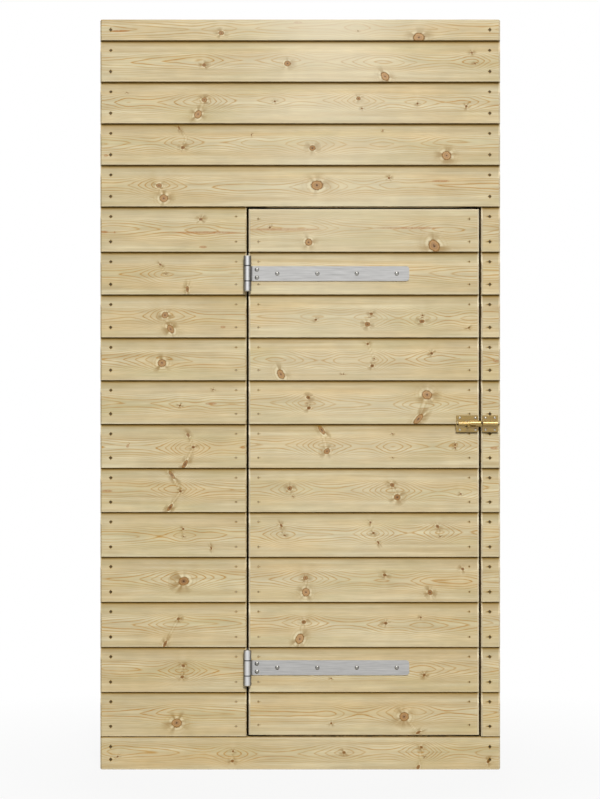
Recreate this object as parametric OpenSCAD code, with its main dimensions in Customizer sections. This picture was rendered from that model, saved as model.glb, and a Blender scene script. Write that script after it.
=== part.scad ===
// Aviary door panel: a timber frame clad in lapped boards, with a strap-hinged door and a barrel bolt.
// Millimetres. X runs to the right, Y to the back and Z up.
// The origin is on the floor, under the middle of the frame timber. The door opens to the front.

/* [Frame] */
// Width over both stiles
panel_w = 1000; // [900:1:1200]
// Width of the frame timber, seen from the front
frame_w = 47.5; // [40:0.5:60]
// Depth of the frame timber
frame_d = 47.5; // [45:0.5:70]
// Radius of the planed arrises of all frame timber
arris_r = 2; // [1:0.5:4]
// Width of the laths that stop the door
stop_w = 18; // [12:1:30]
// Room between the door and its stops
stop_play = 1; // [0.5:0.25:3]

/* [Cladding] */
// Thickness of the boards
board_t = 19; // [16:0.5:24]
// Thickness of the tongue along a board's upper edge
tongue_t = 11; // [8:0.5:13]
// Mean height that each row shows
board_gauge = 108.8; // [100:0.1:115]
// Height of the tongue behind the board above
lap = 12; // [8:0.5:20]
// Room round the tongue
lap_play = 0.6; // [0.4:0.1:1]
// Height of the flat recess under each lap
recess_h = 15; // [10:0.5:20]
// Height of the hollow curve from the recess out to the face
cove_h = 15; // [10:0.5:20]
// Height of the ripped board along the top
top_board_h = 51.5; // [45:0.1:80]
// Height of the plank along the bottom
plank_h = 82.4; // [70:0.1:110]
// Joint between the plank and the boards that stand on it
plank_joint = 1; // [0.5:0.1:2]
// Chamfer on the ends of the boards and round the doorway
edge_chamfer = 4; // [2:0.5:5]
// Clipped outer corners of the panel
corner_clip = 3; // [1:0.5:6]

/* [Door] */
// Width of the door
door_w = 576; // [500:1:620]
// Gap on either side of the door
door_gap = 5.5; // [5:0.25:8]
// Gap over the door
head_gap = 6.5; // [3:0.25:8]
// Gap under the door
sill_gap = 4; // [3:0.25:8]
// Depth of the door's frame timber
door_frame_d = 28; // [22:0.5:32]
// Width of the door's stiles
door_stile_w = 47; // [40:0.5:60]
// Height of the door's rails
door_rail_h = 70; // [50:1:95]

/* [Hinges] */
// Length of the strap from the pin's axis
strap_len = 404; // [330:1:440]
// Height of the strap
strap_h = 37; // [32:0.5:45]
// Thickness of the strap and of the fixed leaf
strap_t = 3; // [2:0.25:4]
// Radius of the strap's corners at its free end
strap_tip_r = 8; // [3:0.5:15]
// Outside diameter of the knuckles
barrel_d = 19.5; // [17:0.25:24]
// Length of all three knuckles together
barrel_len = 89; // [80:1:110]
// Gap between neighbouring knuckles
knuckle_gap = 1.2; // [0.5:0.1:1.5]
// Room between the knuckles and the boards behind them
barrel_play = 0.5; // [0.4:0.1:2]
// Radial clearance of the pin
pin_play = 0.05; // [0.02:0.01:0.1]
// How far the fixed leaf reaches along the stud's side
leaf_reach = 35; // [25:1:40]
// Upper strap below the top of the door
upper_strap_drop = 161.5; // [110:0.5:200]
// Lower strap above the bottom of the door
lower_strap_rise = 168.5; // [110:0.5:200]

/* [Bolt] */
// Height of the bolt above the bottom of the door
bolt_rise = 778; // [700:1:850]
// Width of the plate on the door
plate_w = 55; // [52:0.5:65]
// Height of both plates
plate_h = 42; // [36:0.5:50]
// Thickness of both plates
plate_t = 1.5; // [1:0.1:2]
// Radius of the plates' corners
plate_r = 2; // [1:0.25:4]
// Distance of the plate from the door's edge
plate_inset = 2.5; // [1:0.25:5]
// Diameter of the rod
rod_d = 11; // [9:0.25:12]
// Length of the rod
rod_len = 58; // [55:0.5:62]
// Radial clearance of the rod in its sleeve
rod_play = 0.05; // [0.02:0.01:0.1]
// Outside diameter of the sleeve on the door
sleeve_d = 17; // [15:0.25:20]
// Length of the sleeve
sleeve_len = 28; // [24:0.5:32]
// How far the sleeve stands out past the door's edge
sleeve_over = 6; // [5:0.25:7]
// Travel of the bolt
bolt_throw = 13; // [8:0.5:15]
// Diameter of the knob's head
knob_d = 8.5; // [6:0.25:10]
// Width of the keeper's plate
keeper_w = 39.5; // [32:0.5:42]
// Distance of the keeper's plate from the edge of the doorway
keeper_inset = 2.5; // [2:0.25:5]
// Outside diameter of the keeper's sleeve
keeper_d = 13.6; // [13.4:0.1:16]
// Radial room for the rod in the keeper
keeper_play = 0.5; // [0.3:0.05:0.8]

/* [Fixings] */
// Nails from the ends of the fixed boards
nail_edge = 26; // [20:0.5:30]
// Nails from the ends of the door's boards
door_nail_edge = 24; // [18:0.5:30]
// Nails from the upper and lower edge of a row
nail_inset = 25; // [20:0.5:35]
// Head of the nails in the outer stiles
nail_head_d = 5; // [4:0.1:7]
// Head of the fine nails in the stud and the door
fine_head_d = 3.4; // [2.5:0.1:4]
// Shank of all nails
nail_d = 2.4; // [2:0.1:2.5]
// Length of the nails
nail_len = 40; // [36:1:42]
// How far the outer nails are punched in
nail_sink = 1.4; // [0.5:0.1:2]
// How far the fine nails are punched in
fine_sink = 0.7; // [0.3:0.1:1.5]
// Head of the strap screws
strap_screw_d = 11; // [9:0.25:13]
// Head of the plate screws
plate_screw_d = 6.5; // [5:0.25:7]
// Head of the countersunk screws in the frame and the leaves
frame_screw_d = 9; // [7:0.25:10]

/* [Hidden] */
$fn = 48;
// Overrun of every cut
cut = 1;
// Height that each row shows, from the top row down, as a share of the mean gauge
gauge_shares = [0.952, 0.957, 0.955, 0.958, 1.039, 0.983, 0.986, 0.985,
                1.004, 1.010, 1.015, 1.030, 1.035, 1.036, 1.035, 1.023];
upper_rows = 4;
rows = len(gauge_shares);
door_rows = rows - upper_rows;

function total(v, from) = from >= len(v) ? 0 : v[from] + total(v, from + 1);
// Lower and upper limit of what a row shows, with row 0 at the top
function row_bottom(i) = plank_h + board_gauge * total(gauge_shares, i + 1);
function row_top(i) = plank_h + board_gauge * total(gauge_shares, i);

panel_h = row_top(0) + top_board_h;
// Plane between the cladding and the frame, and the plane of the boards' faces
clad_y = -frame_d / 2;
face_y = clad_y - board_t;
// Back of the frame and of the door's own frame
back_y = frame_d / 2;
door_back_y = clad_y + door_frame_d;
// Open joint between the laths that stop the door
stop_joint = stop_play / 2;
step = board_t - tongue_t;
cove_r = (step * step + cove_h * cove_h) / (2 * step);

left_x = -panel_w / 2;
right_x = panel_w / 2;
// Edges of the doorway and of the door
lock_x = right_x - frame_w;
door_right = lock_x - door_gap;
door_left = door_right - door_w;
stud_x = door_left - door_gap;
head_z = row_bottom(upper_rows - 1);
door_top = head_z - head_gap;
door_bottom = plank_h + sill_gap;

// Hinge pin, on the middle of the gap and clear of the boards' faces
pin_x = (stud_x + door_left) / 2;
pin_y = face_y - barrel_play - barrel_d / 2;
pin_d = barrel_d - 2 * strap_t - 2 * pin_play;
upper_hinge_z = door_top - upper_strap_drop;
lower_hinge_z = door_bottom + lower_strap_rise;
barrel_chamfer = strap_t / 2;
// Strap screws along the strap: a pair next to the barrel, then single ones
strap_pair_share = 0.058;
strap_screw_shares = [0.184, 0.432, 0.676, 0.923];
strap_pair_gap = strap_h * 0.54;
// Their places as distance from the pin and height from the middle of the strap
strap_screws_at = concat(
    [for (z = [-1, 1]) [strap_len * strap_pair_share, z * strap_pair_gap / 2]],
    [for (s = strap_screw_shares) [strap_len * s, 0]]);
// Places of both straps' screws on the face of the door
strap_places = [for (z = [upper_hinge_z, lower_hinge_z], p = strap_screws_at) [pin_x + p[0], z + p[1]]];
leaf_screw_shares = [0.2, 0.5, 0.8];
leaf_screw_y = clad_y + leaf_reach / 2;

// Barrel bolt
bolt_z = door_bottom + bolt_rise;
plate_right = door_right - plate_inset;
plate_left = plate_right - plate_w;
sleeve_right = door_right + sleeve_over;
sleeve_left = sleeve_right - sleeve_len;
rod_y = face_y - plate_t / 3 - sleeve_d / 2;
rod_right = sleeve_right;
rod_left = rod_right - rod_len;
rod_nose = rod_d / 6;
knob_stem_d = rod_d * 0.42;
knob_play = 0.4;
knob_x = sleeve_left - knob_d / 2 - knob_play;
knob_turn = 40;
knob_neck = sleeve_d / 2 + knob_play;
sleeve_taper = sleeve_d / 6;
keeper_left = lock_x + keeper_inset;
keeper_right = keeper_left + keeper_w;
keeper_lip = plate_t;
keeper_bore_d = rod_d + 2 * keeper_play;
plate_screw_shares = [0.17, 0.88];
keeper_screw_shares = [0.2, 0.79];
plate_screw_rise = plate_h * 0.35;
bolt_places = plate_screws_at(plate_left, plate_w, plate_screw_shares);
keeper_places = plate_screws_at(keeper_left, keeper_w, keeper_screw_shares);
// Opening that is left in the plate behind the rod, and the notch beside the rod's tail
lance_w = plate_w * 0.22;
notch_w = plate_w * 0.075;

// Shanks of the screws
strap_shank_d = strap_screw_d * 0.42;
strap_screw_len = board_t + door_frame_d / 2;
plate_shank_d = plate_screw_d * 0.42;
plate_screw_len = board_t + door_frame_d / 3;
frame_shank_d = frame_screw_d / 2;
frame_screw_len = frame_w * 1.6;
leaf_screw_len = frame_w / 2;
screw_play = 0.15;

pine = "#d3c096";
framing = "#cdb788";
zinc = "#b9bcc0";
brass = "#b0903f";
nail_grey = "#8a8578";

function numbered(name, n) = [for (i = [1:n]) str(name, "_", i)];
UPPER = numbered("upper_board", upper_rows);
LEFT = numbered("left_board", door_rows);
DOOR = numbered("door_board", door_rows);

// Each board is a list, and these functions name what it holds
function from_x(b) = b[0];
function to_x(b) = b[1];
function low_z(b) = b[2];
function high_z(b) = b[3];
function tongued(b) = b[4];
function rebated(b) = b[5];
function inset(b) = b[6];
function upper_spec(i) = [left_x, right_x, row_bottom(i), row_top(i), true, true, nail_edge];
function left_spec(i) = [left_x, stud_x, fixed_bottom(i), row_top(i), true, i < rows - 1, nail_edge];
function lock_spec(i) = [lock_x, right_x, fixed_bottom(i), row_top(i), true, i < rows - 1, nail_edge];
function door_spec(i) = [door_left, door_right,
                         i < rows - 1 ? row_bottom(i) : door_bottom,
                         i > upper_rows ? row_top(i) : door_top,
                         i > upper_rows, i < rows - 1, door_nail_edge];
function top_spec() = [left_x, right_x, row_top(0), panel_h, false, true, nail_edge];
function plank_spec() = [left_x, right_x, 0, plank_h - plank_joint / 2, false, false, nail_edge];
function fixed_bottom(i) = i < rows - 1 ? row_bottom(i) : plank_h + plank_joint / 2;

// How far the surface lies behind the face plane, at a distance below the row's upper limit
function hollow(below) =
    below < recess_h ? step
    : below < recess_h + cove_h ? step - cove_r + sqrt(cove_r * cove_r - pow(below - recess_h, 2))
    : 0;

// Heights of a board's nails
function nail_heights(b) =
    high_z(b) - low_z(b) > 3 * nail_inset
    ? [high_z(b) - nail_inset, low_z(b) + nail_inset]
    : [(low_z(b) + high_z(b)) / 2];
function nail_surface(b, z) = face_y + (tongued(b) ? hollow(high_z(b) - z) : 0);

// Section of a board: depth from the back along the first axis, height along the second
module board_section(b) {
    difference() {
        translate([0, low_z(b)]) square([board_t, high_z(b) - low_z(b) + (tongued(b) ? lap : 0)]);
        if (tongued(b)) {
            translate([tongue_t, high_z(b) - recess_h]) square([step + cut, recess_h + lap + cut]);
            translate([tongue_t + cove_r, high_z(b) - recess_h]) circle(cove_r, $fn = 96);
        }
        if (rebated(b))
            translate([-cut, low_z(b) - cut]) square([tongue_t + lap_play + cut, lap + lap_play + cut]);
    }
}

// Carries a section along X from one place to another, with depth towards the front
module along_x(from, to) {
    translate([to, clad_y, 0])
        rotate([90, 0, -90])
            linear_extrude(to - from)
                children();
}

// A board with chamfered ends
module board(b) {
    intersection() {
        along_x(from_x(b), to_x(b)) board_section(b);
        translate([0, 0, low_z(b) - cut])
            linear_extrude(high_z(b) - low_z(b) + lap + 2 * cut)
                polygon([[from_x(b), clad_y],
                         [from_x(b), face_y + edge_chamfer],
                         [from_x(b) + edge_chamfer, face_y],
                         [to_x(b) - edge_chamfer, face_y],
                         [to_x(b), face_y + edge_chamfer],
                         [to_x(b), clad_y]]);
    }
}

// The hole that one punched nail leaves in the face
module punch(x, b, z, head, sink) {
    translate([x, nail_surface(b, z) - step, z])
        rotate([-90, 0, 0])
            cylinder(d = head, h = step + sink);
}

// A nail with its flat head at the bottom of its punched hole
module nail(x, b, z, head, sink) {
    translate([x, nail_surface(b, z) + sink, z])
        rotate([-90, 0, 0])
            union() {
                cylinder(d = head, h = nail_d / 2);
                cylinder(d = nail_d, h = nail_len);
            }
}

// The punched holes of a board's nails at one place along it, and the nails themselves
module punches(b, x, head, sink) {
    for (z = nail_heights(b))
        punch(x, b, z, head, sink);
}

module nails(b, x, head, sink) {
    for (z = nail_heights(b))
        nail(x, b, z, head, sink);
}

// A full-width board, nailed to both stiles
module wide_board(b) {
    difference() {
        board(b);
        punches(b, from_x(b) + inset(b), nail_head_d, nail_sink);
        punches(b, to_x(b) - inset(b), nail_head_d, nail_sink);
    }
}

module upper_board(i) {
    color(pine) wide_board(upper_spec(i));
}

module left_board(i) {
    b = left_spec(i);
    color(pine)
        difference() {
            board(b);
            punches(b, from_x(b) + inset(b), nail_head_d, nail_sink);
            punches(b, to_x(b) - inset(b), fine_head_d, fine_sink);
        }
}

module lock_boards() {
    color(pine)
        for (i = [upper_rows : rows - 1]) {
            b = lock_spec(i);
            difference() {
                board(b);
                punches(b, to_x(b) - inset(b), nail_head_d, nail_sink);
                screw_bores();
            }
        }
}

// The door's boards: the first is cut flat along its chamfered top
module door_board(i) {
    b = door_spec(i);
    color(pine)
        difference() {
            board(b);
            punches(b, from_x(b) + inset(b), fine_head_d, fine_sink);
            punches(b, to_x(b) - inset(b), fine_head_d, fine_sink);
            if (!tongued(b))
                top_chamfer(from_x(b), to_x(b), high_z(b));
            screw_bores();
        }
}

// Wedge that chamfers a board's upper front edge
module top_chamfer(from, to, z) {
    along_x(from - cut, to + cut)
        polygon([[board_t - edge_chamfer, z],
                 [board_t, z - edge_chamfer],
                 [board_t + cut, z - edge_chamfer],
                 [board_t + cut, z + cut],
                 [board_t - edge_chamfer, z + cut]]);
}

// Wedge that clips one outer corner of the panel, seen from the front
module corner_cut(x, z, side, way) {
    translate([x, clad_y + cut, z])
        rotate([90, 0, 0])
            linear_extrude(board_t + 2 * cut)
                polygon([[side * cut, -way * corner_clip],
                         [side * cut, way * cut],
                         [-side * corner_clip, way * cut],
                         [-side * corner_clip, 0],
                         [0, -way * corner_clip]]);
}

module top_board() {
    color(pine)
        difference() {
            wide_board(top_spec());
            corner_cut(left_x, panel_h, -1, 1);
            corner_cut(right_x, panel_h, 1, 1);
        }
}

// The plank's upper edge is chamfered only across the doorway
module bottom_plank() {
    b = plank_spec();
    color(pine)
        difference() {
            wide_board(b);
            top_chamfer(stud_x + cut, lock_x - cut, high_z(b));
            corner_cut(left_x, 0, -1, -1);
            corner_cut(right_x, 0, 1, -1);
        }
}

module frame_nails() {
    color(nail_grey) {
        for (b = concat([top_spec(), plank_spec()], [for (i = [0 : upper_rows - 1]) upper_spec(i)])) {
            nails(b, from_x(b) + inset(b), nail_head_d, nail_sink);
            nails(b, to_x(b) - inset(b), nail_head_d, nail_sink);
        }
        for (i = [upper_rows : rows - 1]) {
            nails(left_spec(i), left_x + nail_edge, nail_head_d, nail_sink);
            nails(left_spec(i), stud_x - nail_edge, fine_head_d, fine_sink);
            nails(lock_spec(i), right_x - nail_edge, nail_head_d, nail_sink);
        }
    }
}

module door_nails() {
    color(nail_grey)
        for (i = [upper_rows : rows - 1]) {
            nails(door_spec(i), door_left + door_nail_edge, fine_head_d, fine_sink);
            nails(door_spec(i), door_right - door_nail_edge, fine_head_d, fine_sink);
        }
}

// Sets its children at places on the boards' face, pointing inwards from a plane in front of it
module into_face(places, front) {
    for (p = places)
        translate([p[0], face_y - front, p[1]])
            rotate([-90, 0, 0])
                children();
}

// Sets its children at the leaves' screws, pointing from the leaf into the stud
module into_stud() {
    for (z = [upper_hinge_z, lower_hinge_z], s = leaf_screw_shares)
        translate([stud_x + strap_t, leaf_screw_y, z + barrel_len * (s - 0.5)])
            rotate([0, -90, 0])
                children();
}

// Holes that the screws of the straps, the bolt and the keeper cut in the wood behind them
module screw_bores() {
    into_face(strap_places, strap_t)
        cylinder(d = strap_shank_d, h = strap_screw_len);
    into_face(concat(bolt_places, keeper_places), plate_t)
        cylinder(d = plate_shank_d, h = plate_screw_len);
}

// Section of planed timber, centred, with rounded arrises
module arris_rect(w, d) {
    square([w - 2 * arris_r, d], center = true);
    square([w, d - 2 * arris_r], center = true);
    for (x = [-1, 1], y = [-1, 1])
        translate([x * (w / 2 - arris_r), y * (d / 2 - arris_r)])
            circle(arris_r);
}

// Upright timber from one height to another
module post(x0, x1, y0, y1, z0, z1) {
    color(framing)
        translate([(x0 + x1) / 2, (y0 + y1) / 2, z0])
            linear_extrude(z1 - z0)
                arris_rect(x1 - x0, y1 - y0);
}

// Level timber from one side to the other
module rail(x0, x1, y0, y1, z0, z1) {
    color(framing)
        translate([x0, (y0 + y1) / 2, (z0 + z1) / 2])
            rotate([0, 90, 0])
                linear_extrude(x1 - x0)
                    arris_rect(z1 - z0, y1 - y0);
}

module left_stile() {
    post(left_x, left_x + frame_w, clad_y, back_y, 0, panel_h);
}

module right_stile() {
    difference() {
        post(lock_x, right_x, clad_y, back_y, 0, panel_h);
        screw_bores();
    }
}

module hinge_stud() {
    difference() {
        post(stud_x - frame_w, stud_x, clad_y, back_y, frame_w, head_z);
        into_stud()
            cylinder(d = frame_shank_d, h = leaf_screw_len);
    }
}

module top_rail() {
    rail(left_x + frame_w, lock_x, clad_y, back_y, panel_h - frame_w, panel_h);
}

module header_rail() {
    rail(left_x + frame_w, lock_x, clad_y, back_y, head_z, head_z + frame_w);
}

module bottom_rail() {
    rail(left_x + frame_w, lock_x, clad_y, back_y, 0, frame_w);
}

// Laths round the doorway that the closed door lies against: the one by the hinges clears their leaves
module door_stop() {
    stop_y = door_back_y + stop_play;
    leaf_stop_y = max(door_back_y, clad_y + leaf_reach) + stop_play;
    post(lock_x - stop_w, lock_x, stop_y, back_y, frame_w, head_z);
    post(stud_x, stud_x + stop_w, leaf_stop_y, back_y, frame_w, head_z);
    from = stud_x + stop_w + stop_joint;
    to = lock_x - stop_w - stop_joint;
    rail(from, to, stop_y, back_y, head_z - stop_w, head_z);
    rail(from, to, stop_y, back_y, frame_w, door_bottom + stop_w - door_gap);
}

module door_hinge_stile() {
    difference() {
        post(door_left, door_left + door_stile_w, clad_y, door_back_y, door_bottom, door_top);
        screw_bores();
    }
}

module door_lock_stile() {
    difference() {
        post(door_right - door_stile_w, door_right, clad_y, door_back_y, door_bottom, door_top);
        screw_bores();
    }
}

// The door's rails lie behind the straps and the bolt
module door_rail(z) {
    difference() {
        rail(door_left + door_stile_w, door_right - door_stile_w, clad_y, door_back_y,
             z - door_rail_h / 2, z + door_rail_h / 2);
        screw_bores();
    }
}

module door_top_rail() {
    door_rail(upper_hinge_z);
}

module door_mid_rail() {
    door_rail((upper_hinge_z + lower_hinge_z) / 2);
}

module door_bottom_rail() {
    door_rail(lower_hinge_z);
}

// Countersunk screw along +Z, its head flush with the plane of its place
module countersunk(len) {
    union() {
        cylinder(d1 = frame_screw_d, d2 = frame_shank_d, h = frame_shank_d / 2);
        cylinder(d = frame_shank_d, h = len);
    }
}

// Round-headed screw along +Z that stands on the plane of its place, with a crossed drive
module round_screw(head, shank, len) {
    dome_h = head * 0.3;
    dome_r = (head * head / 4 + dome_h * dome_h) / (2 * dome_h);
    slot = head * 0.13;
    difference() {
        union() {
            rotate_extrude()
                intersection() {
                    translate([0, dome_r - dome_h]) circle(dome_r);
                    translate([0, -dome_h]) square([head, dome_h]);
                }
            cylinder(d = shank, h = len);
        }
        for (a = [0, 90])
            rotate([0, 0, a])
                translate([-head / 4, -slot / 2, -dome_h - cut])
                    cube([head / 2, slot, dome_h / 2 + cut]);
    }
}

// Two screws at each end of a rail, through the stiles, and one at each end of the stud, behind the nails
module frame_screws() {
    y = frame_d / 5;
    stud_mid = stud_x - frame_w / 2;
    color(nail_grey) {
        for (rail_z = [0, head_z, panel_h - frame_w], share = [0.3, 0.7]) {
            z = rail_z + share * frame_w;
            translate([left_x, y, z]) rotate([0, 90, 0]) countersunk(frame_screw_len);
            translate([right_x, y, z]) rotate([0, -90, 0]) countersunk(frame_screw_len);
        }
        translate([stud_mid, y, 0]) countersunk(frame_screw_len);
        translate([stud_mid, y, head_z + frame_w]) rotate([180, 0, 0]) countersunk(frame_screw_len);
    }
}

// A knuckle round the pin's axis, chamfered at its upper or lower end
module knuckle(z0, z1, low_chamfer, high_chamfer) {
    translate([0, 0, z0 + low_chamfer])
        cylinder(d = barrel_d, h = z1 - z0 - low_chamfer - high_chamfer);
    if (low_chamfer > 0)
        translate([0, 0, z0])
            cylinder(d1 = barrel_d - 2 * low_chamfer, d2 = barrel_d, h = low_chamfer);
    if (high_chamfer > 0)
        translate([0, 0, z1 - high_chamfer])
            cylinder(d1 = barrel_d, d2 = barrel_d - 2 * high_chamfer, h = high_chamfer);
}

module pin_bore() {
    translate([0, 0, -barrel_len])
        cylinder(d = pin_d + 2 * pin_play, h = 2 * barrel_len);
}

// Outline of the strap from the pin's axis to its rounded end, height along the second axis
module strap_outline() {
    translate([0, -strap_h / 2]) square([strap_len - strap_tip_r, strap_h]);
    translate([0, -strap_h / 2 + strap_tip_r]) square([strap_len, strap_h - 2 * strap_tip_r]);
    for (z = [-1, 1])
        translate([strap_len - strap_tip_r, z * (strap_h / 2 - strap_tip_r)])
            circle(strap_tip_r);
}

// One hinge strap on the face of the door, with the middle knuckle
module strap(z) {
    color(zinc)
        translate([pin_x, pin_y, z])
            difference() {
                union() {
                    translate([0, barrel_d / 2 + barrel_play, 0])
                        rotate([90, 0, 0])
                            linear_extrude(strap_t)
                                strap_outline();
                    knuckle(-strap_h / 2, strap_h / 2, 0, 0);
                }
                pin_bore();
                for (p = strap_screws_at)
                    translate([p[0], 0, p[1]])
                        rotate([-90, 0, 0])
                            cylinder(d = strap_shank_d + 2 * screw_play, h = barrel_d);
            }
}

module upper_strap() {
    strap(upper_hinge_z);
}

module lower_strap() {
    strap(lower_hinge_z);
}

module strap_screws() {
    color(zinc)
        into_face(strap_places, strap_t)
            round_screw(strap_screw_d, strap_shank_d, strap_screw_len);
}

// The fixed leaf: a plate in the gap, flat on the stud's side, with the outer knuckles on its front edge
module leaf(z) {
    plate_x = stud_x - pin_x;
    leaf_depth = clad_y + leaf_reach - pin_y;
    split = strap_h / 2 + knuckle_gap;
    color(zinc)
        translate([pin_x, pin_y, z])
            difference() {
                union() {
                    knuckle(split, barrel_len / 2, 0, barrel_chamfer);
                    knuckle(-barrel_len / 2, -split, barrel_chamfer, 0);
                    translate([plate_x, 0, -barrel_len / 2 + barrel_chamfer])
                        cube([strap_t, leaf_depth, barrel_len - 2 * barrel_chamfer]);
                }
                pin_bore();
                translate([-barrel_d, -barrel_d, -split])
                    cube([2 * barrel_d, barrel_d * 1.5 + barrel_play + knuckle_gap, 2 * split]);
                for (s = leaf_screw_shares)
                    translate([plate_x + strap_t + cut, leaf_screw_y - pin_y, barrel_len * (s - 0.5)])
                        rotate([0, -90, 0])
                            leaf_screw_hole();
            }
}

// Countersunk hole through the leaf, entered along +Z one overrun above its face
module leaf_screw_hole() {
    wide = frame_screw_d + 2 * screw_play;
    narrow = frame_shank_d + 2 * screw_play;
    cylinder(d = wide, h = cut);
    translate([0, 0, cut])
        cylinder(d1 = wide, d2 = narrow, h = frame_shank_d / 2);
    cylinder(d = narrow, h = strap_t + 2 * cut);
}

module upper_leaf() {
    leaf(upper_hinge_z);
}

module lower_leaf() {
    leaf(lower_hinge_z);
}

module leaf_screws() {
    color(zinc)
        into_stud()
            countersunk(leaf_screw_len);
}

// The pin ends just inside the chamfers of the outer knuckles
module pin(z) {
    color(zinc)
        translate([pin_x, pin_y, z - barrel_len / 2 + barrel_chamfer / 2])
            cylinder(d = pin_d, h = barrel_len - barrel_chamfer);
}

module upper_pin() {
    pin(upper_hinge_z);
}

module lower_pin() {
    pin(lower_hinge_z);
}

// A plate on the boards' face with rounded corners
module face_plate(from, to) {
    w = to - from;
    translate([from, face_y, bolt_z])
        rotate([90, 0, 0])
            linear_extrude(plate_t)
                translate([w / 2, 0])
                    union() {
                        square([w - 2 * plate_r, plate_h], center = true);
                        square([w, plate_h - 2 * plate_r], center = true);
                        for (x = [-1, 1], z = [-1, 1])
                            translate([x * (w / 2 - plate_r), z * (plate_h / 2 - plate_r)])
                                circle(plate_r);
                    }
}

// Places of a plate's four screws
function plate_screws_at(from, w, shares) =
    [for (s = shares, z = [-1, 1]) [from + w * s, bolt_z + z * plate_screw_rise]];

module plate_screw_holes(places) {
    into_face(places, plate_t + cut)
        cylinder(d = plate_shank_d + 2 * screw_play, h = plate_t + 2 * cut);
}

module plate_screw_set(places) {
    into_face(places, plate_t)
        round_screw(plate_screw_d, plate_shank_d, plate_screw_len);
}

// Lays its children along +X on the rod's axis
module rod_line(x) {
    translate([x, rod_y, bolt_z])
        rotate([0, 90, 0])
            children();
}

// The bolt's plate with its sleeve, tapered at the keeper's end and slotted for the knob
module bolt_plate() {
    color(brass)
        difference() {
            union() {
                face_plate(plate_left, plate_right);
                rod_line(sleeve_left)
                    cylinder(d = sleeve_d, h = sleeve_len - sleeve_taper);
                rod_line(sleeve_right - sleeve_taper)
                    cylinder(d1 = sleeve_d, d2 = sleeve_d - sleeve_taper, h = sleeve_taper);
            }
            rod_line(sleeve_left - plate_w)
                cylinder(d = rod_d + 2 * rod_play, h = plate_w + sleeve_len + cut);
            translate([sleeve_left - lance_w, face_y - plate_t - cut, bolt_z - sleeve_d / 2])
                cube([lance_w, plate_t + 2 * cut, sleeve_d]);
            translate([rod_left - notch_w, face_y - plate_t - cut, bolt_z - rod_d / 3])
                cube([notch_w, plate_t + 2 * cut, rod_d]);
            translate([sleeve_left - cut, rod_y, bolt_z])
                rotate([knob_turn, 0, 0])
                    translate([0, -sleeve_d, -knob_stem_d / 2 - knob_play])
                        cube([bolt_throw - knob_play + cut, sleeve_d, knob_stem_d + 2 * knob_play]);
            plate_screw_holes(bolt_places);
        }
}

module bolt_screws() {
    color(nail_grey) plate_screw_set(bolt_places);
}

// The rod at rest, drawn clear of the keeper, with a chamfered nose
module bolt_rod() {
    color(brass)
        difference() {
            union() {
                rod_line(rod_left)
                    cylinder(d = rod_d, h = rod_len - rod_nose);
                rod_line(rod_right - rod_nose)
                    cylinder(d1 = rod_d, d2 = rod_d - 2 * rod_nose, h = rod_nose);
            }
            knob_line()
                cylinder(d = knob_stem_d, h = rod_d);
        }
}

// Along +Z from the rod's axis, out to the front and downwards
module knob_line() {
    translate([knob_x, rod_y, bolt_z])
        rotate([90 + knob_turn, 0, 0])
            children();
}

module bolt_knob() {
    color(brass)
        knob_line()
            union() {
                cylinder(d = knob_stem_d, h = knob_neck);
                translate([0, 0, knob_neck])
                    cylinder(d1 = knob_stem_d, d2 = knob_d, h = knob_d / 4);
                translate([0, 0, knob_neck + knob_d / 4])
                    cylinder(d = knob_d, h = knob_d / 4);
                translate([0, 0, knob_neck + knob_d / 2])
                    cylinder(d1 = knob_d, d2 = knob_d * 0.7, h = knob_d / 8);
            }
}

module keeper() {
    color(brass)
        difference() {
            union() {
                face_plate(keeper_left, keeper_right);
                rod_line(keeper_left + keeper_lip)
                    cylinder(d = keeper_d, h = keeper_w - 2 * keeper_lip);
                translate([keeper_left + keeper_lip, rod_y, bolt_z - keeper_d / 2])
                    cube([keeper_w - 2 * keeper_lip, face_y - plate_t / 2 - rod_y, keeper_d]);
            }
            rod_line(keeper_left - cut)
                cylinder(d = keeper_bore_d, h = keeper_w - 2 * keeper_lip);
            plate_screw_holes(keeper_places);
        }
}

module keeper_screws() {
    color(nail_grey) plate_screw_set(keeper_places);
}

left_stile();
right_stile();
hinge_stud();
top_rail();
header_rail();
bottom_rail();
door_stop();
top_board();
bottom_plank();
lock_boards();
frame_nails();
frame_screws();
upper_leaf();
lower_leaf();
upper_pin();
lower_pin();
leaf_screws();
keeper();
keeper_screws();
door_hinge_stile();
door_lock_stile();
door_top_rail();
door_mid_rail();
door_bottom_rail();
door_nails();
upper_strap();
lower_strap();
strap_screws();
bolt_plate();
bolt_screws();
bolt_rod();
bolt_knob();
for (i = [0 : upper_rows - 1])
    upper_board(i);
for (i = [0 : door_rows - 1]) {
    left_board(upper_rows + i);
    door_board(upper_rows + i);
}
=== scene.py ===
"""The looks of an aviary door panel: lapped pine boards, planed framing, zinc hinges and a brass bolt.

Lengths are millimetres until a mesh or a lamp is made. Along a timber runs s, across its width t, and d is
the depth behind its face. Boards and rails have s on X and t on Z, and posts the other way round.
"""

import math
import zlib

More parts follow.
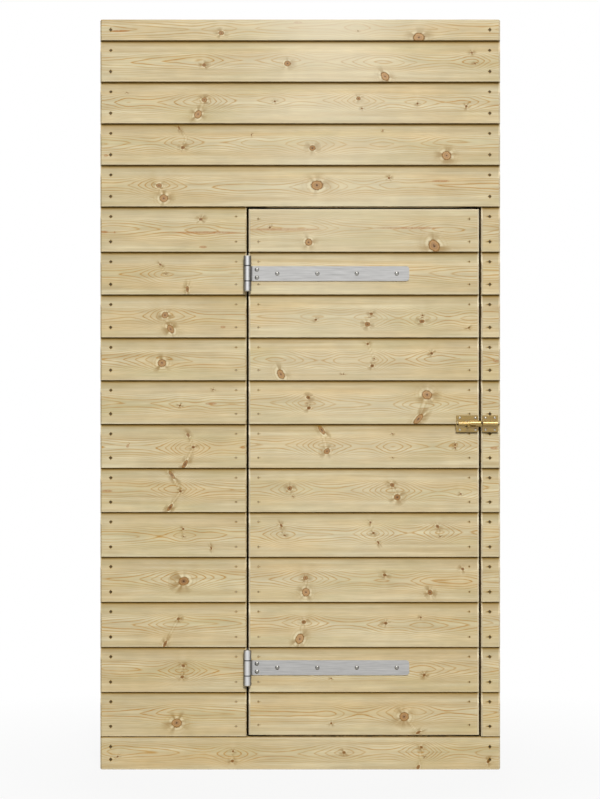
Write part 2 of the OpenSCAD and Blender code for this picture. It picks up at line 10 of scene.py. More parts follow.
import bmesh
import bpy
import numpy as np
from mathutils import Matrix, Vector


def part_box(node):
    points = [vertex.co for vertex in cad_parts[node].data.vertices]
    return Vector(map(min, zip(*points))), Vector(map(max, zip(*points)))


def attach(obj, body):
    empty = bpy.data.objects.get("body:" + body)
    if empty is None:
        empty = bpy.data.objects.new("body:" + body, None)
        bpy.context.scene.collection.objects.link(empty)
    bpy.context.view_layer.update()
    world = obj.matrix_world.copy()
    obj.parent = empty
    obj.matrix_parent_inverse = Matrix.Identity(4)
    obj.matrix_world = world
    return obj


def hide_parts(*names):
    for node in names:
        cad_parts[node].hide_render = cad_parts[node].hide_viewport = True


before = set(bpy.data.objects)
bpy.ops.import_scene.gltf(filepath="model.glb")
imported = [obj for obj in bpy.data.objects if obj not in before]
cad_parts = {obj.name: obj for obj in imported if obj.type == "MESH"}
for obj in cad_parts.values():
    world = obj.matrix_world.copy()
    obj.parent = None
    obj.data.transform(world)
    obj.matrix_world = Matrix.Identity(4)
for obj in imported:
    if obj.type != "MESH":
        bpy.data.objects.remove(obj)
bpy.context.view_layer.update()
MM = 0.001

# Section of the boards, as the solids have it
BOARD_T, TONGUE_T, LAP, LAP_PLAY = 19.0, 11.0, 12.0, 0.6
RECESS_H, COVE_H, CHAMFER, CORNER_CLIP = 15.0, 15.0, 4.0, 3.0
# The cove's lip is planed off softly over this stretch below the row's edge
LIP_FROM, LIP_TO = 26.0, 37.0
STEP = BOARD_T - TONGUE_T
COVE_R = (STEP**2 + COVE_H**2) / (2 * STEP)
# Eased arris of the boards' edges, and the planed arris of the framing
EDGE_R, ARRIS_R = 0.9, 2.0
# Nails: distance from a fixed board's end, from a door board's end and from a row's edge
NAIL_EDGE, DOOR_NAIL_EDGE, NAIL_INSET = 26.0, 24.0, 25.0
# Radius and depth of the punched holes: outer nails, and fine nails in the stud and the door
PUNCH, FINE_PUNCH = (2.6, 1.55), (1.8, 0.8)
# Rows of boards above the doorway, and beside and on the door
UPPER_ROWS, DOOR_ROWS = 4, 12
# Stop laths: width, and play behind the door; and the gap between a hinge's knuckles
STOP_W, STOP_PLAY, KNUCKLE_GAP = 18.0, 1.0, 1.2

# Grids: cells along a board, across its face and its back, and the parts of a cell at a knot
CELL_S, CELL_T, CELL_BACK, KNOT_PARTS = 10.5, 3.2, 6.0, 3
# Closer cells in the shade under a lap, how far down that goes, and cells on the cove's lip
SHADE_CELL, SHADE_H, LIP_CELL = 1.6, 16.0, 2.4
# Cells of the framing: along, across and through
POST_S, POST_T, POST_D = 14.0, 4.2, 8.0
# A hair's breadth: of lines that lie within two hairs only the first is kept
HAIR = 0.02

# Growth rings: their width, half the width of a line of latewood, drawn as coarse as shows, and the share of
# a ring at which it lies
RING_W, LINE_HALF, LINE_AT = 3.6, 2.0, 0.86
# How the count of rings grows: with the distance from the heart line, with its square and with depth; and
# how blunt the points are at which rings close
RING_SLOPE, RING_BEND, RING_DEPTH, RING_POINT = 0.3, 0.01, 0.45, 1.2
# Waves of the heart line and of the pith's depth: height and length
HEART_WAVE, PITH_WAVE, PITH_RIPPLE = (3.0, 760.0), (4.6, 560.0), (1.1, 230.0)
# The figure's least strength, and how far from the heart line its bold part goes
FIGURE_LEAST, FIGURE_W = 0.3, 21.0

# Darkness of edges: painted shade under a lap, painted black shade in the gaps round the door, darker
# end grain with painted gap shade at the door boards' ends, and a light darkening of wood in the open air
LAP_SHADE, GAP_SHADE, DOOR_END_STAIN_AND_SHADE, AIR_STAIN = 0.62, 1.0, 0.35, 0.15
# How pale the chamfers are, as newly cut wood and as painted highlight: at the panel's right, at the
# stud, on the door, at the lock, and along a top
PANEL_CUT, STUD_CUT, DOOR_CUT, LOCK_CUT, TOP_CUT = 0.3, 0.1, 0.6, 0.55, 0.45
# Painted shade under a lap, and painted shade in the cove: millimetres below the row's edge, and shares
UNDER_LAP = (3, 5.5, 8, 11, 16), (0.72, 0.56, 0.22, 0.1, 0)
COVE_SHADE = (7, 10.5, 13, 16, 21, 26, 31.5, 37, 41), (0, 0.1, 0.19, 0.25, 0.27, 0.23, 0.14, 0.045, 0)
# Darker towards the panel's foot, by height; and painted shade along the plank's top, by depth below it
FOOT_DARKENING, PLANK_SHADE = ((0, 320), (0.07, 0)), ((1.6, 3.2), (0.66, 0))
# A painted sheen by height, and the place and half width of the stretch that has most of it
PAINTED_SHEEN = (0, 600, 1100, 1600, 1750, 1875), (0.08, 0.12, 0.2, 0.3, 0.4, 0.62)
PAINTED_SHEEN_X, PAINTED_SHEEN_W = 80.0, 230.0
# A painted highlight along lower edges: height and share
EDGE_LIGHT_H, EDGE_LIGHT = 3.5, 0.16
# Stain round outer and fine nails, and painted black shade along a stop lath: millimetres from its edge,
# and shares
NAIL_STAIN, FINE_NAIL_STAIN = 0.88, 0.5
STOP_SHADE = (9, 12.5), (1.0, 0.25)

# The far bank of light: its share, height and turn to the right; and the room's level
KEY_LEVEL, KEY_RISE, KEY_TURN, ROOM_LEVEL = 0.7, math.radians(28), math.radians(8), 0.16

# The photograph: its frame in pixels, the size of a pixel on the boards' faces, and the pixel below the
# middle of the panel's lower edge
PHOTO_W, PHOTO_H, PIXEL_MM = 600, 799, 2.5
FOOT_PX, FOOT_PY = 300.25, 769.5
CAMERA_AWAY = 5700.0

# Knots: pixel column and row in the photograph, radius, length to width, tilt in degrees, and darkness
KNOTS = [
    (221.3, 33.0, 5.0, 1.2, 0, 0.5), (418.8, 37.5, 11.0, 1.25, 0, 0.15), (358.0, 31.0, 1.2, 1.5, 0, 0.9),
    (204.0, 65.0, 4.0, 1.1, 0, 0.7), (287.5, 63.5, 6.5, 1.15, 0, 0.4), (385.0, 76.3, 8.5, 1.35, -50, 0.15),
    (471.8, 52.5, 2.6, 1.2, 0, 0.9), (475.0, 63.5, 1.5, 2.0, 0, 0.9), (126.8, 92.3, 1.4, 1.2, 0, 1.0),
    (204.3, 99.8, 5.2, 1.25, 0, 0.5), (198.0, 114.3, 8.0, 1.3, 60, 0.25), (274.8, 101.3, 2.2, 1.2, 0, 1.0),
    (358.5, 98.5, 4.3, 1.2, 0, 0.55), (362.0, 108.5, 1.8, 1.2, 0, 1.0), (417.5, 103.5, 2.4, 1.1, 0, 0.9),
    (466.3, 106.3, 2.8, 1.2, 60, 0.9), (178.8, 127.5, 2.6, 2.2, -60, 0.8),
    (182.8, 147.5, 4.0, 1.2, 20, 0.8), (251.3, 134.8, 1.8, 1.2, 0, 1.0), (312.5, 148.0, 6.3, 1.15, 0, 0.6),
    (446.5, 155.5, 10.0, 1.15, -15, 0.2), (383.0, 130.5, 1.3, 1.2, 0, 1.0),
    (159.0, 185.5, 5.0, 1.3, 10, 0.5), (163.7, 198.3, 9.0, 1.1, 0, 0.3), (317.0, 185.3, 11.0, 1.3, 0, 0.3),
    (389.0, 178.0, 2.8, 1.1, 0, 0.9), (200.8, 219.2, 3.6, 1.3, 15, 0.9), (269.7, 227.5, 2.4, 1.3, 30, 0.9),
    (308.7, 242.2, 8.0, 1.05, 0, 0.3), (434.2, 245.8, 12.0, 1.3, -50, 0.4),
    (160.3, 264.5, 2.6, 1.3, -30, 0.9), (165.8, 274.0, 1.4, 1.6, 0, 1.0), (187.5, 289.0, 3.6, 2.0, 90, 0.7),
    (165.0, 315.0, 7.3, 1.05, 0, 0.35), (170.6, 329.0, 7.0, 1.5, -55, 0.4),
    (315.8, 319.7, 2.4, 1.4, 0, 0.9), (371.2, 313.8, 3.2, 1.2, 0, 0.8), (367.5, 324.2, 5.5, 1.1, 0, 0.7),
    (422.5, 315.3, 2.0, 1.2, 0, 1.0), (422.0, 321.3, 4.0, 1.5, 0, 0.8), (468.7, 327.8, 2.0, 1.6, 10, 0.95),
    (162.0, 363.0, 9.0, 1.1, 10, 0.35), (367.8, 343.8, 2.6, 1.2, 0, 1.0), (374.2, 358.7, 1.7, 1.2, 0, 0.8),
    (372.2, 365.8, 3.6, 1.2, 0, 0.9), (341.3, 374.2, 1.3, 1.2, 0, 1.0), (343.6, 374.2, 1.3, 1.2, 0, 1.0),
    (280.8, 374.2, 8.0, 1.5, -58, 0.3), (431.7, 353.3, 3.4, 1.1, 0, 0.9), (180.0, 405.5, 2.2, 1.2, 0, 1.0),
    (213.0, 389.5, 1.8, 1.2, 0, 1.0), (308.3, 397.5, 4.0, 1.25, -20, 0.85),
    (308.8, 408.0, 3.6, 1.3, 10, 0.95), (427.0, 394.7, 10.5, 1.15, -20, 0.3),
    (418.3, 419.2, 6.5, 2.4, 48, 0.4), (188.0, 435.0, 3.4, 1.5, -55, 0.8), (193.3, 447.2, 3.3, 1.2, 0, 0.9),
    (185.0, 464.2, 4.5, 2.4, 60, 0.7), (321.7, 430.0, 5.0, 2.4, -55, 0.5),
    (327.0, 451.2, 6.3, 1.2, 30, 0.5), (392.2, 433.7, 1.6, 1.2, 0, 1.0), (392.5, 457.5, 1.2, 1.2, 0, 1.0),
    (455.2, 444.2, 2.0, 1.2, 0, 0.9), (455.2, 447.8, 2.0, 1.3, 0, 0.9), (171.7, 475.0, 4.0, 2.8, -52, 0.6),
    (180.5, 491.3, 3.0, 1.15, 0, 0.9), (170.0, 507.5, 4.0, 2.4, 55, 0.8), (289.7, 488.3, 5.0, 1.1, 20, 0.7),
    (293.0, 496.7, 1.5, 1.2, 0, 0.9), (392.2, 485.0, 4.4, 1.25, -25, 0.75),
    (397.2, 497.2, 7.0, 1.1, 0, 0.7), (460.8, 494.0, 2.0, 1.3, 0, 0.9), (183.3, 529.0, 2.6, 1.1, 0, 0.9),
    (183.7, 536.7, 1.5, 1.2, 0, 1.0), (211.2, 548.0, 2.0, 2.0, -70, 0.9),
    (281.2, 525.5, 2.8, 1.6, -50, 0.9), (284.5, 535.3, 1.6, 2.0, 0, 0.9),
    (370.5, 522.5, 2.4, 1.2, -60, 0.85), (373.5, 533.0, 2.4, 1.3, 0, 0.95),
    (378.3, 542.5, 2.2, 2.0, -65, 0.8), (437.5, 526.3, 3.6, 1.3, -40, 0.8),
    (440.0, 536.3, 1.5, 1.4, 0, 0.9), (442.0, 536.3, 1.2, 1.4, 0, 0.9),
    (183.7, 581.2, 10.0, 1.25, 15, 0.65), (305.5, 578.0, 4.8, 1.2, 0, 0.5),
    (306.0, 592.2, 9.0, 1.1, 90, 0.2), (384.7, 575.0, 3.3, 1.4, -10, 0.85),
    (430.0, 592.5, 5.5, 1.15, -70, 0.7), (462.7, 569.0, 3.3, 1.2, 0, 0.95),
    (178.3, 618.8, 3.3, 1.3, 10, 0.8), (165.0, 644.0, 3.4, 2.4, 65, 0.8), (303.8, 622.0, 4.4, 1.2, 0, 0.75),
    (299.7, 638.7, 9.5, 1.3, 65, 0.15), (385.8, 623.2, 3.5, 1.2, 0, 0.85),
    (420.8, 617.3, 2.2, 1.2, 0, 0.85), (183.3, 665.8, 3.6, 1.25, -20, 0.8),
    (182.2, 677.0, 3.6, 1.25, 10, 0.8), (331.2, 678.3, 1.7, 1.2, 0, 1.0), (424.2, 675.0, 3.3, 1.2, 40, 0.9),
    (176.7, 723.0, 10.5, 1.15, 10, 0.35), (331.3, 723.3, 2.4, 1.2, 0, 1.0),
    (404.2, 716.7, 10.5, 1.05, 0, 0.4), (418.3, 732.5, 3.0, 2.2, 30, 0.8), (233.0, 751.3, 2.6, 1.1, 0, 0.8),
    (232.3, 761.0, 3.6, 1.1, 0, 0.85), (117.5, 756.7, 2.0, 1.6, 30, 0.9), (344.0, 752.5, 3.4, 1.2, 0, 0.8),
    (421.3, 747.2, 3.3, 1.2, -20, 0.9), (424.5, 757.0, 1.4, 1.3, 0, 1.0), (418.3, 767.0, 3.5, 1.6, 60, 0.7),
    (488.3, 761.3, 3.6, 1.3, 50, 1.0),
]
# Resin streaks: pixel column and row of the middle, half length and half height; and the least half height
STREAK_H = 2.8
STREAKS = [
    (120.0, 31.0, 22.0, 1.2), (298.0, 22.5, 10.0, 1.2), (106.0, 155.5, 5.0, 2.6), (441.0, 181.0, 20.0, 0.8),
    (207.0, 232.5, 75.0, 1.1), (104.0, 232.0, 9.0, 1.0), (283.0, 229.4, 86.0, 1.2),
    (408.0, 228.0, 76.0, 1.0), (223.0, 327.0, 6.0, 1.4), (211.0, 403.6, 13.0, 0.9),
    (243.0, 447.5, 5.0, 1.3), (107.0, 491.0, 12.0, 1.1), (496.0, 361.0, 7.0, 1.0), (494.0, 448.0, 9.0, 0.8),
    (128.5, 443.5, 3.0, 1.6), (127.5, 446.5, 3.0, 1.2), (203.0, 247.0, 9.0, 0.9),
]
# Traces of branches under the face: pixels that each runs through, and its half width
TRACES = [
    (((178.8, 127.5), (186.5, 138.0), (182.8, 147.5)), 3.2), (((204.3, 99.8), (198.0, 114.3)), 4.5),
    (((159.0, 185.5), (163.7, 198.3)), 4.5), (((160.3, 264.5), (165.8, 274.0)), 2.6),
    (((165.0, 315.0), (170.6, 329.0)), 5.5), (((188.0, 435.0), (193.3, 447.2), (185.0, 464.2)), 3.2),
    (((171.7, 475.0), (180.5, 491.3), (170.0, 507.5)), 3.2), (((183.3, 529.0), (183.7, 536.7)), 2.6),
    (((178.3, 618.8), (165.0, 644.0)), 3.0), (((183.3, 665.8), (182.2, 677.0)), 3.2),
    (((371.2, 313.8), (367.5, 324.2)), 3.6), (((422.5, 315.3), (422.0, 321.3)), 3.2),
    (((367.8, 343.8), (374.2, 358.7), (372.2, 365.8)), 2.6), (((427.0, 394.7), (418.3, 419.2)), 5.5),
    (((308.3, 397.5), (308.8, 408.0)), 3.4), (((321.7, 430.0), (327.0, 451.2)), 4.4),
    (((392.2, 485.0), (397.2, 497.2)), 4.4), (((289.7, 488.3), (293.0, 496.7)), 3.0),
    (((370.5, 522.5), (373.5, 533.0), (378.3, 542.5)), 2.6), (((281.2, 525.5), (284.5, 535.3)), 2.6),
    (((437.5, 526.3), (440.0, 536.3)), 2.8), (((305.5, 578.0), (306.0, 592.2)), 4.6),
    (((303.8, 622.0), (299.7, 638.7)), 4.4), (((404.2, 716.7), (418.3, 732.5)), 3.6),
    (((233.0, 751.3), (232.3, 761.0)), 2.8), (((421.3, 747.2), (418.3, 767.0)), 2.6),
]


def on_face(px, py):
    """Millimetres right of the panel's middle and above its foot, from a pixel of the photograph."""
    return (px - FOOT_PX) * PIXEL_MM, (FOOT_PY - py) * PIXEL_MM


def linear(code):
    """Linear colour of an sRGB hex code: a channel is divided by 12.92 at the toe, else a power of 2.4."""
    c = np.array([int(code[i : i + 2], 16) for i in (1, 3, 5)]) / 255
    return (*np.where(c <= 0.04045, c / 12.92, ((c + 0.055) / 1.055) ** 2.4).tolist(), 1.0)


def add(tree, kind, inputs=None, stops=(), out=0, **settings):
    """Adds a node and gives one of its outputs, or all of them where out is None.

    Settings go to its properties, inputs to its sockets as links or values, and stops to its ramp. A Map
    Range has socket 0 for the value, 1 and 2 for what it runs from, and 3 and 4 for what it runs to. A Mix
    of colours has 0 for the share, and 6 and 7 for the lower and the upper colour.
    """
    made = tree.nodes.new(kind)
    for key, value in settings.items():
        setattr(made, key, value)
    for key, value in (inputs or {}).items():
        if isinstance(value, bpy.types.NodeSocket):
            tree.links.new(value, made.inputs[key])
        else:
            made.inputs[key].default_value = value
    for i, (place, code) in enumerate(stops):
        ramp = made.color_ramp.elements
        stop = ramp[i] if i < 2 else ramp.new(place)
        stop.position = place
        stop.color = linear(code)
    return made.outputs if out is None else made.outputs[out]


def finish_named(name):
    """The empty node tree of a new material, and the material."""
    material = bpy.data.materials.new(name)
    material.use_nodes = True
    material.node_tree.nodes.clear()
    return material.node_tree, material


def treated_pine():
    """Pine, planed and then pressure-treated with a green salt.

    The plane cuts the growth rings into pale earlywood and thin orange lines of latewood, which run straight
    near a board's edges and close to points in its middle. Knots are darker, ringed and haloed. The salt
    leaves a faint green cast, and the surface stays matt, with a fine relief of fibres.

    The ring attribute counts growth rings, steep says how many a millimetre crosses, so that their lines
    keep one width, and figure says how plainly they show. Grain holds s, t and d. Knot is the place in units
    of the nearest knot, and tone its darkness. Resin marks streaks, and trace the course of a branch. One
    more attribute marks chamfers, pale as newly cut wood and with a painted highlight, a painted sheen high
    on the panel, a painted highlight along lower edges and, below nought, painted shade in the cove. End is
    the dark of end grain and of marks round nails, a darkening towards the foot, and painted shade under
    laps, along the plank's top and in the gaps.
    """
    tree, material = finish_named("treated_pine")
    reads = {}
    for name in ("grain", "knot"):
        reads[name] = add(tree, "ShaderNodeAttribute", attribute_name=name, out="Vector")
    for name in ("ring", "steep", "figure", "tone", "resin", "trace", "cut_and_painted_light", "end"):
        reads[name] = add(tree, "ShaderNodeAttribute", attribute_name=name, out="Fac")

    # Noise drawn out along the grain: length, width and depth of its spots in millimetres
    spots = {}
    for name, size, detail in (
        ("wobble", (90, 12, 12), 2.0),
        ("fibre", (60, 2.8, 2.8), 2.0),
        ("band", (380, 10, 10), 2.0),
        ("break", (150, 9, 9), 1.0),
        ("cast", (240, 45, 45), 1.5),
        ("blush", (300, 38, 38), 1.5),
        ("cloud", (70, 34, 34), 2.0),
        ("fleck", (5, 4, 4), 2.0),
    ):
        scaled = add(tree, "ShaderNodeVectorMath", {0: reads["grain"], 1: [1 / x for x in size]},
                     operation="MULTIPLY")
        spots[name] = add(tree, "ShaderNodeTexNoise",
                          {"Vector": scaled, "Scale": 1.0, "Detail": detail, "Roughness": 0.55})

    # Latewood: each ring darkens slowly, then ends at a thin line; some rings are faint, and lines break
    count = add(tree, "ShaderNodeMath", {0: spots["wobble"], 1: 0.8, 2: reads["ring"]},
                operation="MULTIPLY_ADD")
    within = add(tree, "ShaderNodeMath", {0: count}, operation="FRACT")
    slow_stops = ((0.0, "#000000"), (1.0, "#000000"), (0.5, "#181818"), (0.84, "#606060"), (0.92, "#303030"))
    slow = add(tree, "ShaderNodeValToRGB", {0: within}, stops=slow_stops)
    off = add(tree, "ShaderNodeMath", {0: within, 1: LINE_AT}, operation="SUBTRACT")
    off = add(tree, "ShaderNodeMath", {0: off}, operation="ABSOLUTE")
    wide = add(tree, "ShaderNodeMath", {0: reads["steep"], 1: LINE_HALF}, operation="MULTIPLY")
    wide = add(tree, "ShaderNodeClamp", {0: wide, 1: 0.02, 2: 0.3})
    thin = add(tree, "ShaderNodeMapRange", {0: off, 1: wide, 2: 0.0}, interpolation_type="SMOOTHSTEP")
    line = add(tree, "ShaderNodeMath", {0: slow, 1: thin}, operation="MAXIMUM")
    which = add(tree, "ShaderNodeMath", {0: count}, operation="FLOOR")
    year = add(tree, "ShaderNodeTexWhiteNoise", {"W": which}, noise_dimensions="1D")
    weight = add(tree, "ShaderNodeMapRange", {0: year, 3: 0.6, 4: 1.0})
    broken = add(tree, "ShaderNodeMapRange", {0: spots["break"], 1: 0.3, 2: 0.6, 3: 0.6, 4: 1.0})
    shown = add(tree, "ShaderNodeMath", {0: weight, 1: broken}, operation="MULTIPLY")
    shown = add(tree, "ShaderNodeMath", {0: shown, 1: reads["figure"]}, operation="MULTIPLY")
    late = add(tree, "ShaderNodeMath", {0: line, 1: shown}, operation="MULTIPLY")

    band = add(tree, "ShaderNodeMapRange", {0: spots["band"], 1: 0.32, 2: 0.68})
    cast = add(tree, "ShaderNodeMapRange", {0: spots["cast"], 1: 0.46, 2: 0.76, 4: 0.65})
    blush = add(tree, "ShaderNodeMapRange", {0: spots["blush"], 1: 0.48, 2: 0.75, 4: 0.6})
    # Earlywood in two tones, the green cast, a warmer blush, and the lines of latewood over them
    colour = linear("#C4B188")
    for share, over in ((band, "#D8CCA8"), (cast, "#C2B587"), (blush, "#D5BC8C"), (late, "#B58430")):
        colour = add(tree, "ShaderNodeMix", {0: share, 6: colour, 7: linear(over)}, data_type="RGBA", out=2)
    # Fibres and clouds lighten and darken the wood by a few parts in a hundred
    fibre = add(tree, "ShaderNodeMapRange", {0: spots["fibre"], 1: 0.25, 2: 0.75, 3: 0.925, 4: 1.075})
    cloud = add(tree, "ShaderNodeMapRange", {0: spots["cloud"], 1: 0.3, 2: 0.7, 3: 0.92, 4: 1.05})
    shade = add(tree, "ShaderNodeMath", {0: fibre, 1: cloud}, operation="MULTIPLY")
    colour = add(tree, "ShaderNodeMix", {0: 1.0, 6: colour, 7: shade}, data_type="RGBA",
                 blend_type="MULTIPLY", out=2)

    # Knots, in radii from the middle: pith, ringed body, bark line, a pale halo, collars of swung grain and
    # dark flares. The fleck makes their outlines ragged, and each knot's tone gives it flares of its own
    ragged = add(tree, "ShaderNodeMapRange", {0: spots["fleck"], 1: 0.2, 2: 0.8, 3: -0.16, 4: 0.16})
    length = add(tree, "ShaderNodeVectorMath", {0: reads["knot"]}, operation="LENGTH", out="Value")
    away = add(tree, "ShaderNodeMath", {0: length, 1: ragged}, operation="ADD")
    share = add(tree, "ShaderNodeMath", {0: away, 1: 1.3}, operation="DIVIDE")
    pale_stops = ((0.0, "#54402F"), (1.0, "#CBB17C"), (0.10, "#735944"), (0.18, "#B48D62"),
                  (0.32, "#C8A378"), (0.42, "#B48C5E"), (0.54, "#CCA87C"), (0.64, "#B88F58"),
                  (0.74, "#6E4C28"), (0.82, "#8C6738"))
    dark_stops = ((0.0, "#452911"), (1.0, "#C9A264"), (0.26, "#63401F"), (0.48, "#84582A"),
                  (0.66, "#A07238"), (0.78, "#80582A"))
    pale = add(tree, "ShaderNodeValToRGB", {0: share}, stops=pale_stops)
    dark = add(tree, "ShaderNodeValToRGB", {0: share}, stops=dark_stops)
    heart = add(tree, "ShaderNodeMix", {0: reads["tone"], 6: pale, 7: dark}, data_type="RGBA", out=2)
    inside = add(tree, "ShaderNodeMapRange", {0: away, 1: 1.28, 2: 0.92}, interpolation_type="SMOOTHSTEP")
    halo = add(tree, "ShaderNodeMapRange", {0: away, 1: 1.9, 2: 1.2, 4: 0.62},
               interpolation_type="SMOOTHSTEP")
    bearing = add(tree, "ShaderNodeVectorMath", {0: reads["knot"]}, operation="NORMALIZE")
    own = add(tree, "ShaderNodeMath", {0: reads["tone"], 1: 500.0}, operation="MULTIPLY")
    rays = add(tree, "ShaderNodeTexNoise",
               {"Vector": bearing, "W": own, "Scale": 1.25, "Detail": 1.5, "Roughness": 0.5},
               noise_dimensions="4D")
    flare = add(tree, "ShaderNodeMapRange", {0: rays, 1: 0.44, 2: 0.6, 4: 0.8})
    arc = add(tree, "ShaderNodeMapRange", {0: rays, 1: 0.58, 2: 0.44, 3: 0.15, 4: 0.9})
    span = add(tree, "ShaderNodeMath", {0: away, 1: 4.0}, operation="DIVIDE")
    collar_stops = ((0.0, "#000000"), (1.0, "#000000"), (0.41, "#000000"), (0.46, "#9C9C9C"),
                    (0.51, "#000000"), (0.60, "#000000"), (0.65, "#747474"), (0.70, "#000000"))
    collar = add(tree, "ShaderNodeValToRGB", {0: span}, stops=collar_stops)
    outmost = add(tree, "ShaderNodeMath", {0: reads["tone"], 1: 2.2, 2: 2.9}, operation="MULTIPLY_ADD")
    reach = add(tree, "ShaderNodeMapRange", {0: away, 1: outmost, 2: 1.15}, interpolation_type="SMOOTHSTEP")
    plain = add(tree, "ShaderNodeMath", {0: 1.0, 1: reads["resin"]}, operation="SUBTRACT")
    products = {}
    for name, first, second in (
        ("halo", halo, plain),
        ("knot", inside, plain),
        ("resin", inside, reads["resin"]),
        ("flare", flare, reach),
        ("collar", collar, arc),
    ):
        products[name] = add(tree, "ShaderNodeMath", {0: first, 1: second}, operation="MULTIPLY")
    speck = add(tree, "ShaderNodeMapRange", {0: spots["fleck"], 1: 0.3, 2: 0.6, 3: 0.25, 4: 0.62})
    drops = add(tree, "ShaderNodeMath", {0: products["resin"], 1: speck}, operation="MULTIPLY")
    flares = add(tree, "ShaderNodeMath", {0: products["flare"], 1: plain}, operation="MULTIPLY")
    collars = add(tree, "ShaderNodeMath", {0: products["collar"], 1: plain}, operation="MULTIPLY")
    core = add(tree, "ShaderNodeMapRange", {0: reads["trace"], 2: 1.0, 4: 0.6})
    rim = add(tree, "ShaderNodeMapRange", {0: reads["trace"], 2: -1.0, 4: 0.55})
    # Painted shade in the cove; darker wood and painted shade under laps; painted black shade in the gaps
    cove_shade = add(tree, "ShaderNodeMapRange", {0: reads["cut_and_painted_light"], 2: -1.0})
    lap = add(tree, "ShaderNodeMapRange", {0: reads["end"], 2: 0.6, 4: 0.85})
    black = add(tree, "ShaderNodeMapRange", {0: reads["end"], 1: 0.6, 2: 1.0})
    # From below: branches under the face, the knot's surroundings, resin, pale cut edges with a painted
    # highlight and painted sheen, knots, painted shade in the cove, darker wood and painted shade under
    # laps, and painted black shade in the gaps
    layers = (
        (rim, "#A98A4E"),
        (core, "#E0D2AC"),
        (products["halo"], "#E4D8B2"),
        (collars, "#AC8748"),
        (flares, "#947236"),
        (drops, "#A45F0E"),
        (reads["cut_and_painted_light"], "#EBE0C4"),
        (products["knot"], heart),
        (cove_shade, "#8F8263"),
        (lap, "#926F1A"),
        (black, "#080604"),
    )
    for share, over in layers:
        over = linear(over) if isinstance(over, str) else over
        colour = add(tree, "ShaderNodeMix", {0: share, 6: colour, 7: over}, data_type="RGBA", out=2)

    rough = add(tree, "ShaderNodeMapRange", {0: spots["fibre"], 3: 0.55, 4: 0.75})
    relief = add(tree, "ShaderNodeMath", {0: late, 1: 0.5, 2: spots["fibre"]}, operation="MULTIPLY_ADD")
    bump = add(tree, "ShaderNodeBump", {"Strength": 0.2, "Distance": 0.0004, "Height": relief})
    looks = {"Base Color": colour, "Roughness": rough, "Normal": bump, "IOR": 1.5, "Specular IOR Level": 0.3}
    shader = add(tree, "ShaderNodeBsdfPrincipled", looks)
    add(tree, "ShaderNodeOutputMaterial", {"Surface": shader}, out=None)
    return material


def brushed_metal(name, tones, spots_mm, roughness, metallic=1.0, lacquer=0.0, knuckles=None):
    """Metal with fine brush marks: noise drawn out along X varies its colour and its gloss.

    Its spots are given in millimetres. Knuckles, given as the pin's x, the middle between two hinges, half
    their distance and the place of their joints, have a painted highlight on the crown and painted shade
    towards their sides and at their joints. Lacquer is the weight of a clear coat, whose IOR is above a
    real one's 1.5, so that its highlight turns as white as the real rod's.
    """
    tree, material = finish_named(name)
    place = add(tree, "ShaderNodeTexCoord", out="Object")
    stretched = add(tree, "ShaderNodeVectorMath", {0: place, 1: [1 / (x * MM) for x in spots_mm]},
                    operation="MULTIPLY")
    marks = add(tree, "ShaderNodeTexNoise",
                {"Vector": stretched, "Scale": 1.0, "Detail": 3.0, "Roughness": 0.6})
    share = add(tree, "ShaderNodeMapRange", {0: marks, 1: 0.3, 2: 0.7})
    colour = add(tree, "ShaderNodeMix", {0: share, 6: linear(tones[0]), 7: linear(tones[1])},
                 data_type="RGBA", out=2)
    if knuckles:
        x, _, z = add(tree, "ShaderNodeSeparateXYZ", {0: place}, out=None)
        # Each difference and absolute value folds two places onto one: sides, hinges, then joints
        aways = []
        for away, middles in ((x, knuckles[:1]), (z, knuckles[1:])):
            for middle in middles:
                less = add(tree, "ShaderNodeMath", {0: away, 1: middle * MM}, operation="SUBTRACT")
                away = add(tree, "ShaderNodeMath", {0: less}, operation="ABSOLUTE")
            aways.append(away)
        # Millimetres off the pin, and off a joint between two knuckles
        side_shade_to, barrel_to, crown, joint_w = 13, (11, 10), (6.0, 2.0), (1.7, 0.8)
        side = add(tree, "ShaderNodeMapRange", {0: aways[0], 2: side_shade_to * MM})
        side_stops = ((0.0, "#000000"), (1.0, "#000000"), (0.46, "#303030"), (0.64, "#E0E0E0"),
                      (0.84, "#D0D0D0"))
        sides = add(tree, "ShaderNodeValToRGB", {0: side}, stops=side_stops)
        barrel = add(tree, "ShaderNodeMapRange", {0: aways[0], 1: barrel_to[0] * MM, 2: barrel_to[1] * MM})
        joint_to = {0: aways[1], 1: joint_w[0] * MM, 2: joint_w[1] * MM, 4: 0.9}
        joint = add(tree, "ShaderNodeMapRange", joint_to)
        joints = add(tree, "ShaderNodeMath", {0: barrel, 1: joint}, operation="MULTIPLY")
        # A painted highlight on the crown, and painted shade at the sides and in the joints between knuckles
        painted_light = add(tree, "ShaderNodeMapRange", {0: aways[0], 1: crown[0] * MM, 2: crown[1] * MM, 4: 0.75})
        for painted_share, over in ((painted_light, "#F2F2F2"), (sides, "#2A2A2B"), (joints, "#2A2A2B")):
            over = linear(over)
            colour = add(tree, "ShaderNodeMix", {0: painted_share, 6: colour, 7: over}, data_type="RGBA", out=2)
    rough = add(tree, "ShaderNodeMapRange", {0: marks, 3: roughness[0], 4: roughness[1]})
    bump = add(tree, "ShaderNodeBump", {"Strength": 0.12, "Distance": 0.0002, "Height": marks})
    looks = {"Base Color": colour, "Metallic": metallic, "Roughness": rough, "Normal": bump}
    coat = {"Coat Weight": lacquer, "Coat Roughness": 0.1, "Coat IOR": 1.75}
    shader = add(tree, "ShaderNodeBsdfPrincipled", {**looks, **coat})
    add(tree, "ShaderNodeOutputMaterial", {"Surface": shader}, out=None)
    return material


